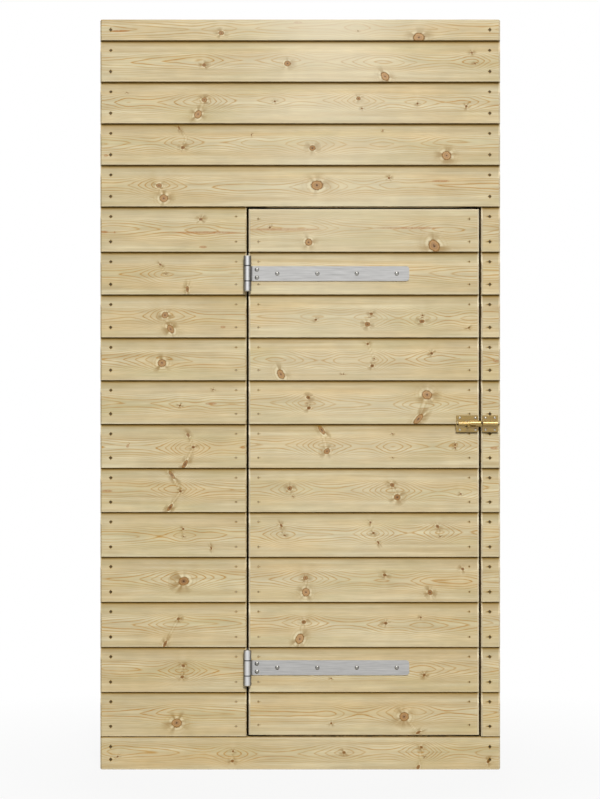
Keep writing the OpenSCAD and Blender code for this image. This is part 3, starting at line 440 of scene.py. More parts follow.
def nail_steel(name, grey_x):
    """Heads of drawn steel nails, punched below the face.

    The treatment's salt has browned and matted them, but the fine ones within fine_w of grey_x have stayed
    grey. Spots of about 80 mm, wider than a head, give each nail a tone of its own.
    """
    fine_w, spot = 5.0, 1000 / 12.0
    tree, material = finish_named(name)
    place = add(tree, "ShaderNodeTexCoord", out="Object")
    x = add(tree, "ShaderNodeSeparateXYZ", {0: place})
    fine = add(tree, "ShaderNodeMath", {0: x, 1: grey_x * MM, 2: fine_w * MM}, operation="COMPARE")
    spots = add(tree, "ShaderNodeTexNoise", {"Vector": place, "Scale": 1 / (spot * MM), "Detail": 2.0})
    share = add(tree, "ShaderNodeMapRange", {0: spots, 1: 0.35, 2: 0.65})
    brown = add(tree, "ShaderNodeMix", {0: share, 6: linear("#2A1E12"), 7: linear("#57462F")},
                data_type="RGBA", out=2)
    grey = add(tree, "ShaderNodeMix", {0: share, 6: linear("#625B4E"), 7: linear("#A0988A")},
               data_type="RGBA", out=2)
    colour = add(tree, "ShaderNodeMix", {0: fine, 6: brown, 7: grey}, data_type="RGBA", out=2)
    rough = add(tree, "ShaderNodeMapRange", {0: spots, 3: 0.45, 4: 0.7})
    shader = add(tree, "ShaderNodeBsdfPrincipled",
                 {"Base Color": colour, "Metallic": 0.2, "Roughness": rough})
    add(tree, "ShaderNodeOutputMaterial", {"Surface": shader}, out=None)
    return material


def spread(*runs):
    """Places along runs of (from, to, pitch), evenly parted in each run."""
    return np.concatenate([np.linspace(a, b, max(2, round((b - a) / pitch) + 1)) for a, b, pitch in runs])


def lines(base, fine=()):
    """The places of base, with closer ones round each (place, half width, pitch) of fine."""
    parts = [base]
    parts += [np.arange(place - half, place + half + step / 2, step) for place, half, step in fine]
    places = np.unique(np.round(np.clip(np.concatenate(parts), base.min(), base.max()), 2))
    return places[np.concatenate([[True], np.diff(places) > 2 * HAIR])]


def eased(inwards, radius):
    """Depth of a rounded arris: radius less the root of radius squared less what is left of it, squared."""
    left = np.clip(radius - inwards, 0, radius)
    return radius - np.sqrt(radius**2 - left**2)


def knot_reach(radius):
    """How many radii from its middle a knot still swings the grain: more round a small knot."""
    return max(3.3, min(5.5, (radius + 10) / radius))


def knot_grid(ends, knots):
    """Places along a board: CELL_S apart, and KNOT_PARTS times closer where a knot swings the grain."""
    cells = max(1, round((ends[1] - ends[0]) / CELL_S))
    places = np.linspace(*ends, cells * KNOT_PARTS + 1)
    kept = np.arange(len(places)) % KNOT_PARTS == 0
    for at, _, radius, stretch, _, _, is_resin in knots:
        if not is_resin:
            kept |= np.abs(places - at) < 1.1 * radius * stretch * knot_reach(radius)
    return places[kept]


def wood_fields(s, t, d, knots, name, middle, traces):
    """Fields of the grain at points of a timber.

    The count of rings is RING_SLOPE times x, plus RING_BEND times x squared, plus the depth of the pith and
    RING_DEPTH times d, over the width of a ring, where x is how far t is from the heart line: so rings close
    to points on that line. The pith wanders slowly and comes nearer at each knot, which makes eyes there,
    and round a knot t is pushed out by its radius. Steep is how many rings a millimetre crosses, from the
    difference over half a millimetre. Over or under a knot a pale veil, a bell curve across that fades along
    t, has darker flanks. A trace falls from 1 on a branch's line to -1 at its half width, and ends at twice
    that.
    """
    rng = np.random.default_rng(zlib.crc32(name.encode()))
    phase = rng.uniform(0, 2 * math.pi, 4)
    aside, deep = rng.uniform(-4, 4), rng.uniform(13, 18)
    shift = rng.uniform(100, 4000, 3)
    first_ring = rng.integers(20, 900)

    def wave(size, s, start):
        return size[0] * np.sin(s * 2 * math.pi / size[1] + start)

    def rings(s, t):
        heart = middle + aside + wave(HEART_WAVE, s, phase[0])
        pith = deep + wave(PITH_WAVE, s, phase[1]) + wave(PITH_RIPPLE, s, phase[2])
        across = t
        for knot_s, knot_t, radius, *_, is_resin in knots:
            if not is_resin:
                ds, dt = s - knot_s, t - knot_t
                swell = np.exp(-((ds / (2.6 * radius + 5)) ** 2) - (dt / (2.4 * radius + 3)) ** 2)
                across = across - (0.9 * radius + 1.5) * np.tanh(dt / (0.7 * radius)) * swell
                pith = pith - min(9, 3.5 + 0.7 * radius) * np.exp(-((ds / (30 + 4 * radius)) ** 2))
        off_heart = np.hypot(across - heart, RING_POINT)
        grown = RING_SLOPE * off_heart + RING_BEND * off_heart**2 + pith + RING_DEPTH * d
        return grown / RING_W, off_heart

    count, from_heart = rings(s, t)
    small = 0.5
    steep = np.hypot(rings(s + small, t)[0] - count, rings(s, t + small)[0] - count) / small
    # Radii from the nearest and the second knot, and where that is out of every knot's reach
    nowhere, out_of_reach = 99.0, 9.0
    near, second = np.full(s.shape, nowhere), np.full(s.shape, nowhere)
    local = np.zeros((*s.shape, 3))
    tone, resin, trace = np.zeros(s.shape), np.zeros(s.shape), np.zeros(s.shape)
    for knot_s, knot_t, radius, stretch, tilt, dark, is_resin in knots:
        ds, dt = s - knot_s, t - knot_t
        c, n = math.cos(math.radians(tilt)), math.sin(math.radians(tilt))
        u, v = (ds * c + dt * n) / (radius * stretch), (dt * c - ds * n) / radius
        away = np.hypot(u, v)
        if not is_resin:
            beyond = dt * (1 if rng.random() < 0.65 else -1)
            fade = np.clip(beyond / radius + 0.5, 0, 1) * np.exp(-np.maximum(beyond, 0) / (14 + 3 * radius))
            flank = np.exp(-(((np.abs(ds) - 2.2 * radius - 5) / (radius + 5)) ** 2))
            veil = np.exp(-((ds / (1.2 * radius + 4)) ** 2)) - 0.6 * flank
            trace = trace + min(0.6, 0.2 + 0.05 * radius) * fade * veil
        closer = away < near
        far = np.where(away > knot_reach(radius), out_of_reach, 0.0)
        second = np.where(closer, near, np.minimum(second, away))
        near = np.where(closer, away, near)
        local = np.where(closer[..., None], np.stack([u, v, far], -1), local)
        tone, resin = np.where(closer, dark, tone), np.where(closer, is_resin, resin)
    # Between two knots, and far from all, the place is set out of reach
    between = (second - near < 0.4) & (near > 1.4)
    out = (near > nowhere - 1) | (local[..., 2] > 0) | between
    local = np.where(out[..., None], (0.0, 0.0, out_of_reach), local)
    for points, half in traces:
        course = [on_face(*point) for point in points]
        for (s0, t0), (s1, t1) in zip(course, course[1:]):
            run = (s1 - s0) ** 2 + (t1 - t0) ** 2
            along = np.clip(((s - s0) * (s1 - s0) + (t - t0) * (t1 - t0)) / run, 0, 1)
            share = np.hypot(s - s0 - along * (s1 - s0), t - t0 - along * (t1 - t0)) / half
            value = 0.8 * np.where(share < 2, np.cos(math.pi * share) * np.clip(2 - share, 0, 1), 0)
            trace = np.where(np.abs(value) > np.abs(trace), value, trace)
    return {
        "ring": count + first_ring,
        "steep": steep,
        "figure": FIGURE_LEAST + (1 - FIGURE_LEAST) / (1 + (from_heart / FIGURE_W) ** 4),
        "grain": np.stack([s + shift[0], t + shift[1], d + shift[2]], -1),
        "knot": local,
        "tone": tone,
        "resin": resin,
        "trace": trace,
    }


def timber(name, ends, edges, s_lines, t_lines, face, back, knots, cut_and_painted_light=None, stain=None, trim=None,
           plies=2, back_lines=(), middle=None, edge_stain=0.0, end_stain_and_shade=(AIR_STAIN, AIR_STAIN), traces=()):
    """Six sheets of one straight timber, each as s, t, d, a flag for turned faces, and its fields.

    The face and the back are depths over s and t. The edges and ends run from the one to the other, with
    plies lines through the depth. Two functions give shares over the face: paleness of cut edges with a
    painted highlight, sheen and cove shade, and darkening of the wood with painted shade; trim moves t at
    the ends. Edges and ends take darkening and painted shade of their own.
    """
    trim = trim or (lambda s, t: t)
    cut_and_painted_light = cut_and_painted_light or (lambda s, t: np.zeros(s.shape))
    stain = stain or cut_and_painted_light
    middle = middle or sum(edges) / 2
    ply = np.linspace(0, 1, plies)
    sheets = []

    def sheet(s, t, d, turned, cut, end=0.0):
        fields = wood_fields(s, t, d, knots, name, middle, traces)
        fields["cut_and_painted_light"] = cut
        fields["end"] = np.full(s.shape, 1.0) * end
        sheets.append((s, t, d, turned, fields))

    s, t = np.meshgrid(s_lines, t_lines, indexing="ij")
    t = trim(s, t)
    sheet(s, t, face(s, t), False, cut_and_painted_light(s, t), stain(s, t))
    # Lines close to the edges keep the edges' darkening and painted shade off the back
    edge_strip = 0.4
    rebate = edges[0] + LAP + LAP_PLAY
    close = [(at, HAIR, HAIR) for at in (edges[0] + edge_strip, rebate, edges[1] - edge_strip)]
    back_t = lines(spread((*edges, CELL_BACK)), (*close, *back_lines))
    s, t = np.meshgrid(s_lines, back_t, indexing="ij")
    t = trim(s, t)
    sheet(s, t, back(s, t), True, np.zeros(s.shape))
    # Edges and ends take their own darkening and painted shade
    for edge, turned in ((edges[1], False), (edges[0], True)):
        s, p = np.meshgrid(s_lines, ply, indexing="ij")
        t = trim(s, np.full(s.shape, edge))
        sheet(s, t, face(s, t) * (1 - p) + back(s, t) * p, turned, np.zeros(s.shape), edge_stain)
    for end, turned, dark in ((ends[0], False, end_stain_and_shade[0]), (ends[1], True, end_stain_and_shade[1])):
        t, p = np.meshgrid(t_lines, ply, indexing="ij")
        s = np.full(t.shape, end)
        t = trim(s, t)
        sheet(s, t, face(s, t) * (1 - p) + back(s, t) * p, turned, np.zeros(s.shape), dark)
    return sheets


def wooden_piece(name, body, sheets, face_y, upright, nodes):
    """Joins sheets into one closed mesh, with their fields as attributes, that stands for CAD nodes."""
    points, quads, fields, start = [], [], {}, 0
    for s, t, d, turned, values in sheets:
        x, z = (t, s) if upright else (s, t)
        points.append(np.stack([x, face_y + d, z], -1).reshape(-1, 3))
        index = start + np.arange(s.size).reshape(s.shape)
        corners = np.stack([index[:-1, :-1], index[1:, :-1], index[1:, 1:], index[:-1, 1:]], -1)
        corners = corners.reshape(-1, 4)
        quads.append(corners[:, ::-1] if turned != upright else corners)
        start += s.size
        for key, value in values.items():
            fields.setdefault(key, []).append(value.reshape(-1, 3) if value.ndim > s.ndim else value.ravel())
    mesh = bpy.data.meshes.new(name)
    mesh.from_pydata((np.concatenate(points) * MM).tolist(), [], np.concatenate(quads).tolist())
    for key, parts in fields.items():
        value = np.concatenate(parts).astype(np.float32)
        vector = value.ndim > 1
        layer = mesh.attributes.new(key, "FLOAT_VECTOR" if vector else "FLOAT", "POINT")
        layer.data.foreach_set("vector" if vector else "value", value.ravel())
    weld, speck = 0.004 * MM, 0.002 * MM
    welded = bmesh.new()
    welded.from_mesh(mesh)
    bmesh.ops.remove_doubles(welded, verts=welded.verts, dist=weld)
    bmesh.ops.dissolve_degenerate(welded, edges=welded.edges, dist=speck)
    welded.to_mesh(mesh)
    welded.free()
    mesh.polygons.foreach_set("use_smooth", np.ones(len(mesh.polygons), bool))
    mesh.set_sharp_from_angle(angle=math.radians(28))
    mesh.materials.append(PINE)
    piece = bpy.data.objects.new(name, mesh)
    bpy.context.scene.collection.objects.link(piece)
    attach(piece, body)
    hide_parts(*nodes)


def box_mm(node):
    """Lowest and highest corner of a CAD node, in millimetres."""
    return [np.array(corner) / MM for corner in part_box(node)]


def knots_within(ends, edges):
    """Knots and streaks of the photograph on a board: s, t, radius, stretch, tilt, tone, and 1 for resin.

    No two tones are equal, because a knot's flares come from its tone.
    """
    found = [(*on_face(px, py), radius, stretch, tilt, 0.96 * dark + 0.0003 * i, 0)
             for i, (px, py, radius, stretch, tilt, dark) in enumerate(KNOTS)]
    for px, py, long, high in STREAKS:
        half = max(high, STREAK_H)
        found.append((*on_face(px, py), half, long / half, 0, 0, 1))
    spare = 3
    return [k for k in found if ends[0] - spare < k[0] < ends[1] + spare
            and edges[0] - spare < k[1] < edges[1] + spare]


def board(name, ends, edges, tongued, rebated, nails, cut_ends=(0, PANEL_CUT), gaps=(0, 0), top_cut=None,
          clips=None, edge_stain=LAP_SHADE):
    """One lapped board: a flat face, a cove and a recess under the next board, chamfered ends, nail holes.

    Below the recess the depth follows a circle of COVE_R round a point in front of the face, then a cubic
    that leaves the circle with its slope and meets the face with none. Ends and cut edges are planes at 45
    degrees, so each is the greater of two depths. Cut_ends says how pale the two ends are, as newly cut
    wood and as painted highlight, gaps how much painted black shade the ends beside the gaps get, top_cut
    the stretch whose upper edge is cut, and clips which corners are clipped.
    """
    low, high = edges
    top = high + (LAP if tongued else 0)

    def face(s, t):
        below = high - t
        run = np.clip(below - RECESS_H, 0, LIP_FROM - RECESS_H)
        arc = STEP - COVE_R + np.sqrt(COVE_R**2 - run**2)
        slope = -run / np.sqrt(COVE_R**2 - run**2) * (LIP_TO - LIP_FROM)
        p = np.clip((below - LIP_FROM) / (LIP_TO - LIP_FROM), 0, 1)
        cove = (1 + 2 * p) * (1 - p) ** 2 * arc + p * (1 - p) ** 2 * slope
        d = cove if tongued else eased(below, EDGE_R)
        d = np.maximum(d, eased(t - low, EDGE_R))
        # A punched hole has sloping sides, from 1.2 radii to 0.85
        for radius, depth, at_s, at_t in nails:
            away = np.hypot(s - at_s, t - at_t) / radius
            d = d + depth * np.clip((1.2 - away) / 0.35, 0, 1)
        d = np.maximum(d, CHAMFER - np.minimum(s - ends[0], ends[1] - s))
        if top_cut:
            d = np.where((s > top_cut[0]) & (s < top_cut[1]), np.maximum(d, CHAMFER - below), d)
        return d

    def back(s, t):
        return np.where(rebated & (t < low + LAP + LAP_PLAY), BOARD_T - TONGUE_T - LAP_PLAY, BOARD_T)

    def cut_and_painted_light(s, t):
        cut_w = CHAMFER + HAIR
        cut = np.where(s - ends[0] < cut_w, cut_ends[0], 0.0)
        cut = np.where(ends[1] - s < cut_w, cut_ends[1], cut)
        if top_cut:
            cut = np.where((s > top_cut[0]) & (s < top_cut[1]) & (high - t < cut_w), TOP_CUT, cut)
        # A painted sheen, palest high up near the panel's middle, and a painted highlight along each lower
        # edge
        sheen = np.interp(t, *PAINTED_SHEEN) * np.exp(-(((s - PAINTED_SHEEN_X) / PAINTED_SHEEN_W) ** 2))
        painted_light = np.maximum(np.where(t - low < EDGE_LIGHT_H, EDGE_LIGHT, 0), sheen)
        # Painted shade in the cove, as shares below nought
        if tongued:
            painted_light = painted_light - np.interp(high - t, *COVE_SHADE)
        return np.where(cut > 0, cut, painted_light)

    def stain(s, t):
        # Darker towards the panel's foot
        dark = np.interp(t, *FOOT_DARKENING)
        # Painted shade along the plank's top
        if clips == "bottom":
            dark = np.maximum(dark, np.interp(high - t, *PLANK_SHADE))
        if tongued:
            # Painted shade under the lap, which fades over the last few millimetres at the ends
            inwards = np.minimum(s - ends[0], ends[1] - s)
            dark = np.maximum(dark, np.interp(high - t, *UNDER_LAP) * np.clip((inwards - 1) / 3, 0.3, 1))
        # Round a nail the stain ends between 1.3 and 1.55 radii
        for radius, _, at_s, at_t in nails:
            most = NAIL_STAIN if radius > FINE_PUNCH[0] else FINE_NAIL_STAIN
            away = np.hypot(s - at_s, t - at_t) / radius
            dark = np.maximum(dark, np.clip((1.55 - away) / 0.25, 0, most))
        return dark

    def trim(s, t):
        inwards = np.minimum(s - ends[0], ends[1] - s)
        if clips == "top":
            return np.minimum(t, high - np.maximum(CORNER_CLIP - inwards, 0))
        if clips == "bottom":
            return np.maximum(t, low + np.maximum(CORNER_CLIP - inwards, 0))
        return t

    # Lines of the grid: along, closer at nails, at the chamfers and where a cut top ends
    round_nails_s = [(at, 1.3 * radius, radius / 3) for radius, _, at, _ in nails]
    end_lines = [(ends[0] + CHAMFER / 2, CHAMFER / 2, 1.0), (ends[1] - CHAMFER / 2, CHAMFER / 2, 1.0)]
    beyond = CHAMFER + 3 * HAIR
    end_lines += [(ends[0] + beyond, HAIR / 2, HAIR), (ends[1] - beyond, HAIR / 2, HAIR)]
    if top_cut:
        end_lines += [(place + side, HAIR / 2, HAIR) for place in top_cut for side in (-0.05, 0.05)]
    knots = knots_within(ends, edges)
    s_lines = lines(knot_grid(ends, knots), (*round_nails_s, *end_lines))
    # And across, closer at nails, at the edges and under a lap
    round_nails_t = [(at, 1.3 * radius, radius / 2.3) for radius, _, _, at in nails]
    edge_lines = [(low + EDGE_R / 2, EDGE_R / 2, EDGE_R / 4), (low + EDGE_LIGHT_H, 0.03, 0.06)]
    if tongued:
        shade = high - SHADE_H
        runs = ((low, high - LIP_TO, CELL_T), (high - LIP_TO, shade, LIP_CELL),
                (shade, high - RECESS_H, SHADE_CELL), (high - RECESS_H, high, SHADE_CELL),
                (high, top, CELL_T))
    else:
        runs = ((low, top, CELL_T),)
        edge_lines += [(high - EDGE_R / 2, EDGE_R / 2, EDGE_R / 4), (high - CHAMFER, 0.06, 0.06),
                       (high - 2.4, 0.8, 1.6)]
    t_lines = lines(spread(*runs), (*round_nails_t, *edge_lines))
    return timber(name, ends, (low, top), s_lines, t_lines, face, back, knots, cut_and_painted_light, stain, trim,
                  middle=(low + high) / 2, edge_stain=edge_stain,
                  end_stain_and_shade=[max(AIR_STAIN, dark) for dark in gaps], traces=TRACES)


def nail_heights(low, high):
    """Two nails, an inset from the row's edges, or one in the middle of a narrow board."""
    return (high - NAIL_INSET, low + NAIL_INSET) if high - low > 3 * NAIL_INSET else ((low + high) / 2,)


def nail_rows(low, high, *columns):
    """Punched holes of a board: radius, depth, s and t, for columns of (s, punch)."""
    return [(*punch, s, t) for s, punch in columns for t in nail_heights(low, high)]


def planed(name, node, upright, extent=None, shaded_edge=None):
    """One planed timber of the framing with rounded arrises, at its node's place or at an extent of its own.

    The last argument is the number of the edge, 0 or 1, along which the face is painted black: painted
    shade where the gaps round the door show the lath.
    """
    low, high = extent or box_mm(node)
    along, across = (2, 0) if upright else (0, 2)
    ends, edges, depth = (low[along], high[along]), (low[across], high[across]), high[1] - low[1]
    rng = np.random.default_rng(zlib.crc32(name.encode()) + 7)
    # Knots at random: one to a length, from and to which place, radii, stretch, stray, tilt and tones
    every, first, last, radii, stretch, stray, tilt, tones = 210, 90, 40, (1.6, 7.5), 1.2, 70, 40, (0.2, 0.9)
    knots = []
    for place in np.arange(ends[0] + first, ends[1] - last, every):
        radius = rng.uniform(*radii)
        knots.append((place + rng.uniform(-stray, stray), rng.uniform(*edges), radius, stretch,
                      rng.uniform(-tilt, tilt), rng.uniform(*tones), 0))

    def face(s, t):
        return eased(np.minimum(t - edges[0], edges[1] - t), ARRIS_R)

    def back(s, t):
        return depth - eased(np.minimum(t - edges[0], edges[1] - t), ARRIS_R)

    def stain(s, t):
        if shaded_edge is None:
            return np.zeros(s.shape)
        return np.interp(np.abs(t - edges[shaded_edge]), *STOP_SHADE)

    corners = [(edge, ARRIS_R, ARRIS_R / 4) for edge in edges]
    t_lines = lines(spread((*edges, POST_T)), corners)
    s_lines = lines(spread((*ends, POST_S)), [(k[0], 2 * k[2], k[2] / 1.5) for k in knots])
    plies = max(3, round(depth / POST_D))
    made = timber(name, ends, edges, s_lines, t_lines, face, back, knots, stain=stain, plies=plies,
                  back_lines=corners)
    return made, low[1]


PINE = treated_pine()
upper_low, upper_high = box_mm("upper_strap")
lower_low, lower_high = box_mm("lower_strap")
pin_x = sum(corner[0] for corner in box_mm("upper_pin")) / 2
knuckle_places = (
    pin_x,
    (upper_high[2] + lower_low[2]) / 2,
    (upper_high[2] + upper_low[2] - lower_high[2] - lower_low[2]) / 4,
    (upper_high[2] - upper_low[2]) / 2 + KNUCKLE_GAP / 2,
)
# Hinges: sheet steel, pressed and plated with bright zinc: a pale, slightly warm grey with faint long marks
# Its knuckles have a painted highlight on the crown and painted shade at their sides and joints
ZINC = brushed_metal("zinc_plated_steel", ("#AEADAB", "#CAC9C7"), (60, 2.4, 2.4), (0.24, 0.38), 0.9,
                     knuckles=knuckle_places)
# Hinge pins: drawn steel rod, left bare and oiled, so dark and even
PIN_STEEL = brushed_metal("oiled_pin_steel", ("#3C3C3E", "#4A4A4C"), (6, 6.0, 6.0), (0.4, 0.5))
# Bolt and keeper: rolled and drawn brass, polished and lacquered: deep yellow under a clear, sharp gloss
BRASS = brushed_metal("polished_brass", ("#90701E", "#A6862E"), (30, 3.0, 3.0), (0.22, 0.3), 0.7, 1.0)
# The bolt's screws: steel plated with nickel, bright and warmer than zinc
NICKEL = brushed_metal("nickel_plated_screws", ("#BDB7A6", "#DAD5C6"), (6, 3.0, 3.0), (0.2, 0.3), 0.8)
# The other screws: turned steel plated with zinc, a plain grey with a soft gloss
SCREW_STEEL = brushed_metal("screw_steel", ("#97958F", "#B8B6B0"), (6, 3.0, 3.0), (0.22, 0.34), 0.9)

# Places that several boards share, from the solids
door_low, door_high = box_mm("door_board_1")
plank_low, plank_high = box_mm("bottom_plank")
lock_x = box_mm("lock_boards")[0][0]
panel_x = (plank_low[0], plank_high[0])
stud_x = box_mm("left_board_1")[1][0]
door_x = (door_low[0], door_high[0])
face_y = plank_low[1]
stud_nail_x = stud_x - NAIL_EDGE
outer_nails = [(panel_x[0] + NAIL_EDGE, PUNCH), (panel_x[1] - NAIL_EDGE, PUNCH)]
door_nails = [(door_x[0] + DOOR_NAIL_EDGE, FINE_PUNCH), (door_x[1] - DOOR_NAIL_EDGE, FINE_PUNCH)]


def clad(node, body, *shape, **finish):
    """Adds a board in place of its node."""
    sheets = board(node, *shape, **finish)
    wooden_piece(f"pine_{node}", body, sheets, face_y, False, [node])


# Full-width boards
low, high = box_mm("top_board")
edges = (low[2], high[2])
nails = nail_rows(*edges, *outer_nails)
clad("top_board", "frame", panel_x, edges, False, True, nails, clips="top", edge_stain=AIR_STAIN)
edges = (plank_low[2], plank_high[2])
nails = nail_rows(*edges, *outer_nails)
clad("bottom_plank", "frame", panel_x, edges, False, False, nails, top_cut=(stud_x, lock_x), clips="bottom",
     edge_stain=GAP_SHADE)
for row in range(1, UPPER_ROWS + 1):
    node = f"upper_board_{row}"
    low, high = box_mm(node)
    edges = (low[2], high[2] - LAP)
    clad(node, "frame", panel_x, edges, True, True, nail_rows(*edges, *outer_nails),
         edge_stain=GAP_SHADE if row == UPPER_ROWS else LAP_SHADE)

# Boards left of the door, on it, and right of it, row by row
lock_sheets = []
for row in range(1, DOOR_ROWS + 1):
    first, last = row == 1, row == DOOR_ROWS
    node = f"left_board_{row}"
    low, high = box_mm(node)
    edges = (low[2], high[2] - LAP)
    nails = nail_rows(*edges, outer_nails[0], (stud_nail_x, FINE_PUNCH))
    clad(node, "frame", (panel_x[0], stud_x), edges, True, not last, nails, (0, STUD_CUT), (0, GAP_SHADE))
    lock_sheets += board(f"lock_board_{row}", (lock_x, panel_x[1]), edges, True, not last,
                         nail_rows(*edges, outer_nails[1]), (LOCK_CUT, PANEL_CUT), (GAP_SHADE, 0))
    node = f"door_board_{row}"
    low, high = box_mm(node)
    edges = (low[2], high[2] - (0 if first else LAP))
    nails = nail_rows(*edges, *door_nails)
    clad(node, "door", door_x, edges, not first, not last, nails, (DOOR_CUT, DOOR_CUT),
         (DOOR_END_STAIN_AND_SHADE, DOOR_END_STAIN_AND_SHADE), top_cut=door_x if first else None,
         edge_stain=GAP_SHADE if first or last else LAP_SHADE)
wooden_piece("pine_lock_boards", "frame", lock_sheets, face_y, False, ["lock_boards"])

# Framing of the panel and of the door
for body, upright, names in (
    ("frame", True, ("left_stile", "right_stile", "hinge_stud")),
    ("frame", False, ("top_rail", "header_rail", "bottom_rail")),
    ("door", True, ("door_hinge_stile", "door_lock_stile")),
    ("door", False, ("door_top_rail", "door_mid_rail", "door_bottom_rail")),
):
    for node in names:
        sheets, front = planed(node, node, upright)
        wooden_piece(f"pine_{node}", body, sheets, front, upright, [node])

# Stop laths behind the door: at the lock, at the hinges, at the head and at the sill
low, high = box_mm("door_stop")
door_back = box_mm("door_hinge_stile")[1][1]
leaf_back = box_mm("upper_leaf")[1][1]
sill_top = box_mm("door_hinge_stile")[0][2] + STOP_W - (lock_x - door_x[1])
inner = (low[0] + STOP_W + STOP_PLAY / 2, high[0] - STOP_W - STOP_PLAY / 2)
stop_y = door_back + STOP_PLAY
hinge_stop_y = max(door_back, leaf_back) + STOP_PLAY
# Each lath has painted black shade along one edge, where the gaps round the door show it
for name, upright, shaded_edge, first, second in (
    ("lock_stop", True, 1, (high[0] - STOP_W, stop_y, low[2]), high),
    ("hinge_stop", True, 0, (low[0], hinge_stop_y, low[2]), (low[0] + STOP_W, high[1], high[2])),
    ("head_stop", False, 1, (inner[0], stop_y, high[2] - STOP_W), (inner[1], high[1], high[2])),
    ("sill_stop", False, 0, (inner[0], stop_y, low[2]), (inner[1], high[1], sill_top)),
):
    sheets, front = planed(name, "door_stop", upright, (first, second), shaded_edge)
    wooden_piece(f"pine_{name}", "frame", sheets, front, upright, ["door_stop"])

# Metal keeps the solids' own shapes
for names, material in (
    (("upper_leaf", "lower_leaf", "upper_strap", "lower_strap"), ZINC),
    (("upper_pin", "lower_pin"), PIN_STEEL),
    (("bolt_plate", "bolt_rod", "bolt_knob", "keeper"), BRASS),
    (("strap_screws", "leaf_screws", "frame_screws"), SCREW_STEEL),
    (("bolt_screws", "keeper_screws"), NICKEL),
    (("frame_nails",), nail_steel("frame_nail_steel", stud_nail_x)),
    (("door_nails",), nail_steel("door_nail_steel", door_x[0] + DOOR_NAIL_EDGE)),
):
    for node in names:
        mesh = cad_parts[node].data
        mesh.materials.clear()
        mesh.materials.append(material)

# Floor: white board, painted matt. The camera sees it nearly white, and it still takes the panel's shadow
tree, white_floor = finish_named("white_floor")
rays = add(tree, "ShaderNodeLightPath", out=None)
seen = add(tree, "ShaderNodeMath", {0: rays["Is Camera Ray"], 1: rays["Is Transmission Ray"]},
           operation="MAXIMUM")
place = add(tree, "ShaderNodeTexCoord", out="Object")
away = add(tree, "ShaderNodeVectorMath", {0: place}, operation="LENGTH", out="Value")
far = add(tree, "ShaderNodeMapRange", {0: away, 1: 0.5, 2: 1.6, 3: 0.9, 4: 1.0})
near_dark = add(tree, "ShaderNodeMapRange", {0: away, 1: 0.25, 2: 1.0, 3: 0.0, 4: 0.85})
mirrored = add(tree, "ShaderNodeMath", {0: rays["Is Glossy Ray"], 1: near_dark}, operation="MULTIPLY")
share = add(tree, "ShaderNodeMath", {0: seen, 1: far, 2: mirrored}, operation="MULTIPLY_ADD")
matt = add(tree, "ShaderNodeBsdfDiffuse", {"Color": linear("#BDBDBB")})
glow = add(tree, "ShaderNodeEmission", {"Color": linear("#FFFFFF"), "Strength": 1.0})
mixed = add(tree, "ShaderNodeMixShader", {0: share, 1: matt, 2: glow})
add(tree, "ShaderNodeOutputMaterial", {"Surface": mixed}, out=None)
half, floor_z = 30.0, -0.001
corners = [(-half, -half, floor_z), (half, -half, floor_z), (half, half, floor_z), (-half, half, floor_z)]
mesh = bpy.data.meshes.new("floor")
mesh.from_pydata(corners, [], [(0, 1, 2, 3)])
mesh.materials.append(white_floor)
floor = bpy.data.objects.new("floor", mesh)
bpy.context.scene.collection.objects.link(floor)

# A white room: white to the camera, a softer level for light
world = bpy.data.worlds.new("white_room")
bpy.context.scene.world = world
world.use_nodes = True
tree = world.node_tree
tree.nodes.clear()
rays = add(tree, "ShaderNodeLightPath", out=None)
seen = add(tree, "ShaderNodeMath", {0: rays["Is Camera Ray"], 1: rays["Is Transmission Ray"]},
           operation="MAXIMUM")
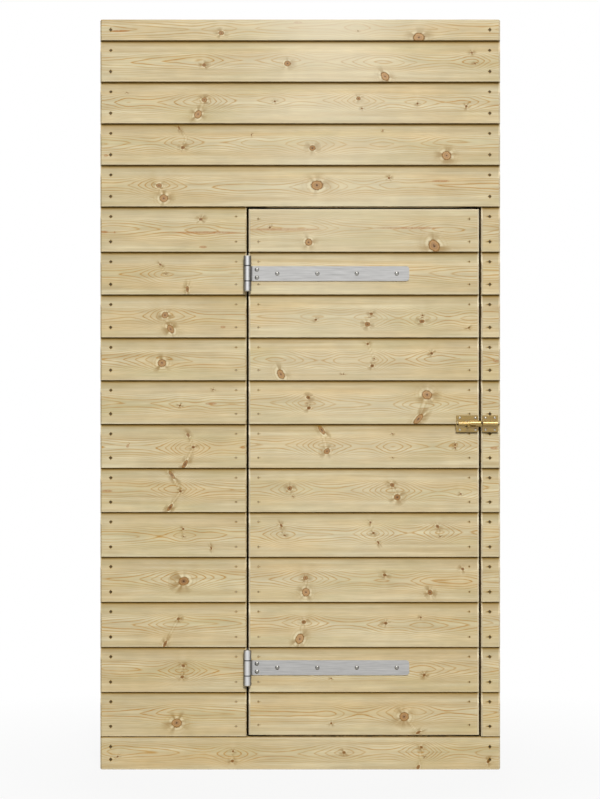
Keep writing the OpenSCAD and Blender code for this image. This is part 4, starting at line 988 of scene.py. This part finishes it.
# Metal mirrors a bright front and darker sides
way = add(tree, "ShaderNodeTexCoord", out="Generated")
sideways = add(tree, "ShaderNodeSeparateXYZ", {0: way})
side = add(tree, "ShaderNodeMath", {0: sideways}, operation="ABSOLUTE")
front = add(tree, "ShaderNodeMapRange", {0: side, 1: 0.35, 2: 0.8, 3: 0.95, 4: 0.05})
gloss = add(tree, "ShaderNodeBackground", {"Color": linear("#FFFFFF"), "Strength": front})
level = add(tree, "ShaderNodeBackground", {"Color": linear("#FFFFFF"), "Strength": ROOM_LEVEL})
white = add(tree, "ShaderNodeBackground", {"Color": linear("#FFFFFF"), "Strength": 1.0})
lit = add(tree, "ShaderNodeMixShader", {0: rays["Is Glossy Ray"], 1: level, 2: gloss})
sky = add(tree, "ShaderNodeMixShader", {0: seen, 1: lit, 2: white})
add(tree, "ShaderNodeOutputWorld", {"Surface": sky}, out=None)


def softbox(name, place, aim, size, watts):
    """A rectangular lamp at a place in metres that faces a point."""
    lamp = bpy.data.lights.new(name, "AREA")
    lamp.shape, lamp.size, lamp.size_y, lamp.energy = "RECTANGLE", size[0], size[1], watts
    holder = bpy.data.objects.new(name, lamp)
    holder.location = place
    way = Vector(aim) - Vector(place)
    holder.rotation_euler = way.to_track_quat("-Z", "Y").to_euler()
    bpy.context.scene.collection.objects.link(holder)
    return holder


# A bank of soft light far off, high in front and a little to the right, and lamps above and behind the panel
sun = bpy.data.lights.new("far_light_bank", "SUN")
sun.energy, sun.angle = KEY_LEVEL * math.pi / math.cos(KEY_RISE), math.radians(12)
holder = bpy.data.objects.new("far_light_bank", sun)
holder.rotation_euler = (math.pi / 2 - KEY_RISE, 0, KEY_TURN)
holder.visible_glossy = False
bpy.context.scene.collection.objects.link(holder)
softbox("top_softbox", (0.3, -2.6, 4.4), (0, 0, 1.2), (2.0, 1.2), 22).visible_glossy = False
softbox("back_softbox", (0.6, 3.6, 3.0), (0, 0, 0.9), (3.0, 2.0), 90).visible_glossy = False
# A card that only gloss shows draws the bright line along rods and round heads
softbox("gloss_card", (0.0, -2.4, 3.6), (0, 0, 0.9), (3.0, 1.8), 130).visible_diffuse = False

camera = bpy.data.cameras.new("camera")
camera.sensor_width = 36.0
camera.lens = camera.sensor_width * CAMERA_AWAY / (PHOTO_H * PIXEL_MM)
holder = bpy.data.objects.new("camera", camera)
view_x, view_z = on_face(PHOTO_W / 2, PHOTO_H / 2)
holder.location = (view_x * MM, (face_y - CAMERA_AWAY) * MM, view_z * MM)
holder.rotation_euler = (math.pi / 2, 0, 0)
bpy.context.scene.collection.objects.link(holder)
bpy.context.scene.camera = holder
bpy.context.scene.view_settings.view_transform = "Standard"
